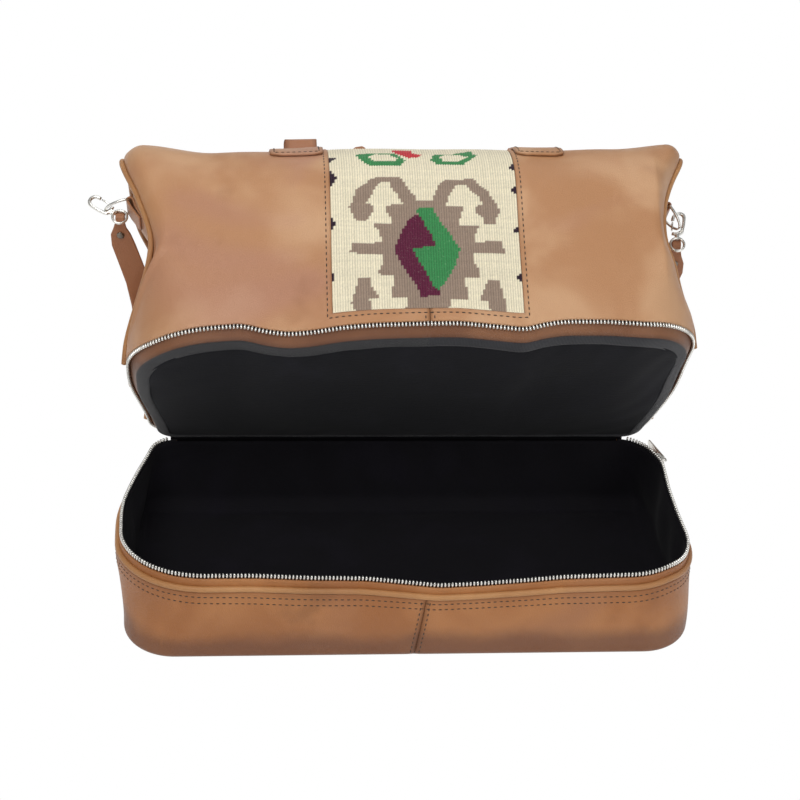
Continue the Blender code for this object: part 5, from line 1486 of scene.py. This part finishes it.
def make_stitches():
    """Dark saddle stitches: round the woven panel, by the middle seams and round the base's rim."""
    line = KILIM_HALF + WINDOW_SEAM
    low = KILIM_FOOT - WINDOW_SEAM
    up = np.linspace(low, FACE_END - 0.004, 300)
    rows = [seam_on_skin(-1, up, sign * line) for sign in (-1, 1)]
    rows.append(seam_on_skin(-1, low, np.linspace(-line, line, 120)))
    for sign in (-1, 1):
        foot = np.linspace(PANEL_FOOT + 0.001, low - 0.002, 12)
        rows.append(seam_on_skin(-1, foot, sign * SEAM_STITCH, pitch=0.004))
        back = np.linspace(PANEL_FOOT + 0.002, FACE_END - 0.004, 300)
        rows.append(seam_on_skin(1, back, sign * SEAM_STITCH))
    piece = repeated("upper_stitches", np.concatenate(rows), STITCH, STITCH_TREE, THREAD)
    settle(piece, "upper", "edge_leather")
    rows = []
    for height in STITCH_HEIGHTS:
        half = plan(height)
        edge = np.concatenate([mirror_plan(half)[:-1], half])
        rows.append(wall_seam(edge, height))
    heights = np.linspace(0.004, TRAY_HEIGHT - 0.002, 60)
    for sign in (-1, 1):
        for end in (0, -1):
            edge = np.stack([plan(height)[end] for height in heights])
            edge[:, 0] = sign * SEAM_STITCH
            rows.append(wall_seam(edge, heights))
    piece = repeated("base_stitches", np.concatenate(rows), STITCH, STITCH_TREE, THREAD)
    settle(piece, "base", "edge_leather")


def wall_seam(edge, height):
    """Stitch places along a line over the base's wall."""
    relief = wall_relief(edge[:, 0], edge[:, 1], height) + STITCH_LIFT
    low = base_place(at_height(edge, height, relief))
    high = base_place(at_height(edge, height, relief + UP_STEP))
    return resample(low, high - low, STITCH_PITCH)


# Stage, lights and camera

FLOOR_HALF = 6.0
FLOOR_DROP = 0.0006
WORLD_LEVEL = 0.34
# Each lamp's place, aim, size and power
LAMPS = (
    ("key", (-0.6, -1.1, 1.9), (0.0, 0.05, 0.15), 1.3, 22.0),
    ("fill", (1.3, -1.4, 1.0), (0.0, 0.05, 0.15), 1.2, 7.0),
    ("top", (0.1, 0.9, 1.8), (0.0, 0.15, 0.25), 1.2, 7.0),
)


def floor_white():
    """Plain white for the camera and in reflections, so that no shadow shows, as in the photograph."""
    finish = Finish("floor_white", base_color=(0.92, 0.92, 0.92, 1.0), roughness=0.9, specular_ior_level=0.0)
    camera = finish.node("ShaderNodeLightPath", output="Is Camera Ray")
    glossy = finish.node("ShaderNodeLightPath", output="Is Glossy Ray")
    seen = camera.maths("MAXIMUM", camera, glossy)
    lit = Wire(finish, finish.shader.outputs[0])
    made = finish.node("ShaderNodeMixShader", inputs={0: seen, 1: lit, 2: finish.node("ShaderNodeEmission")})
    finish.tree.links.new(made.socket, finish.tree.nodes["Material Output"].inputs["Surface"])
    return finish.material


def make_stage():
    corners = [(x * FLOOR_HALF, y * FLOOR_HALF, 0) for x, y in ((-1, -1), (1, -1), (1, 1), (-1, 1))]
    mesh = bpy.data.meshes.new("floor")
    mesh.from_pydata(corners, [], [(0, 1, 2, 3)])
    mesh.materials.append(floor_white())
    floor = new_piece("floor", mesh)
    floor.location.z = -FLOOR_DROP
    world = bpy.data.worlds.new("studio")
    bpy.context.scene.world = world
    world.use_nodes = True
    nodes, links = world.node_tree.nodes, world.node_tree.links
    plain = nodes["Background"]
    plain.inputs["Color"].default_value = (1.0, 1.0, 1.0, 1.0)
    plain.inputs["Strength"].default_value = WORLD_LEVEL
    seen = nodes.new("ShaderNodeBackground")
    path = nodes.new("ShaderNodeLightPath")
    blend = nodes.new("ShaderNodeMixShader")
    links.new(path.outputs["Is Camera Ray"], blend.inputs[0])
    links.new(plain.outputs[0], blend.inputs[1])
    links.new(seen.outputs[0], blend.inputs[2])
    links.new(blend.outputs[0], nodes["World Output"].inputs["Surface"])
    for name, place, aim, size, power in LAMPS:
        lamp = bpy.data.lights.new(name, "AREA")
        lamp.shape = "DISK"
        lamp.size = size
        lamp.energy = power
        holder = new_piece(name, lamp)
        holder.location = place
        holder.rotation_euler = (Vector(aim) - Vector(place)).to_track_quat("-Z", "Y").to_euler()


def make_camera():
    flat = math.cos(ELEVATION)
    back = Vector((math.sin(AZIMUTH) * flat, -math.cos(AZIMUTH) * flat, math.sin(ELEVATION)))
    data = bpy.data.cameras.new("camera")
    data.sensor_width = SENSOR
    data.lens = FOCAL_PIXELS / PHOTO_WIDTH * SENSOR
    camera = new_piece("camera", data)
    turn = back.to_track_quat("Z", "Y").to_matrix() @ Matrix.Rotation(ROLL, 3, "Z")
    camera.matrix_world = Matrix.Translation(TARGET + back * DISTANCE) @ turn.to_4x4()
    bpy.context.scene.camera = camera
    bpy.context.scene.view_settings.view_transform = "Standard"


make_camera()
make_stage()
make_upper_leather()
make_kilim()
make_upper_lining()
make_hem()
make_divider()
make_compartment_zip()
make_top_zip()
make_base_walls()
make_base_lining()
make_hinge()
make_hardware()
make_handles()
make_tab_patches()
make_tab_loop()
make_strap()
make_stitches()
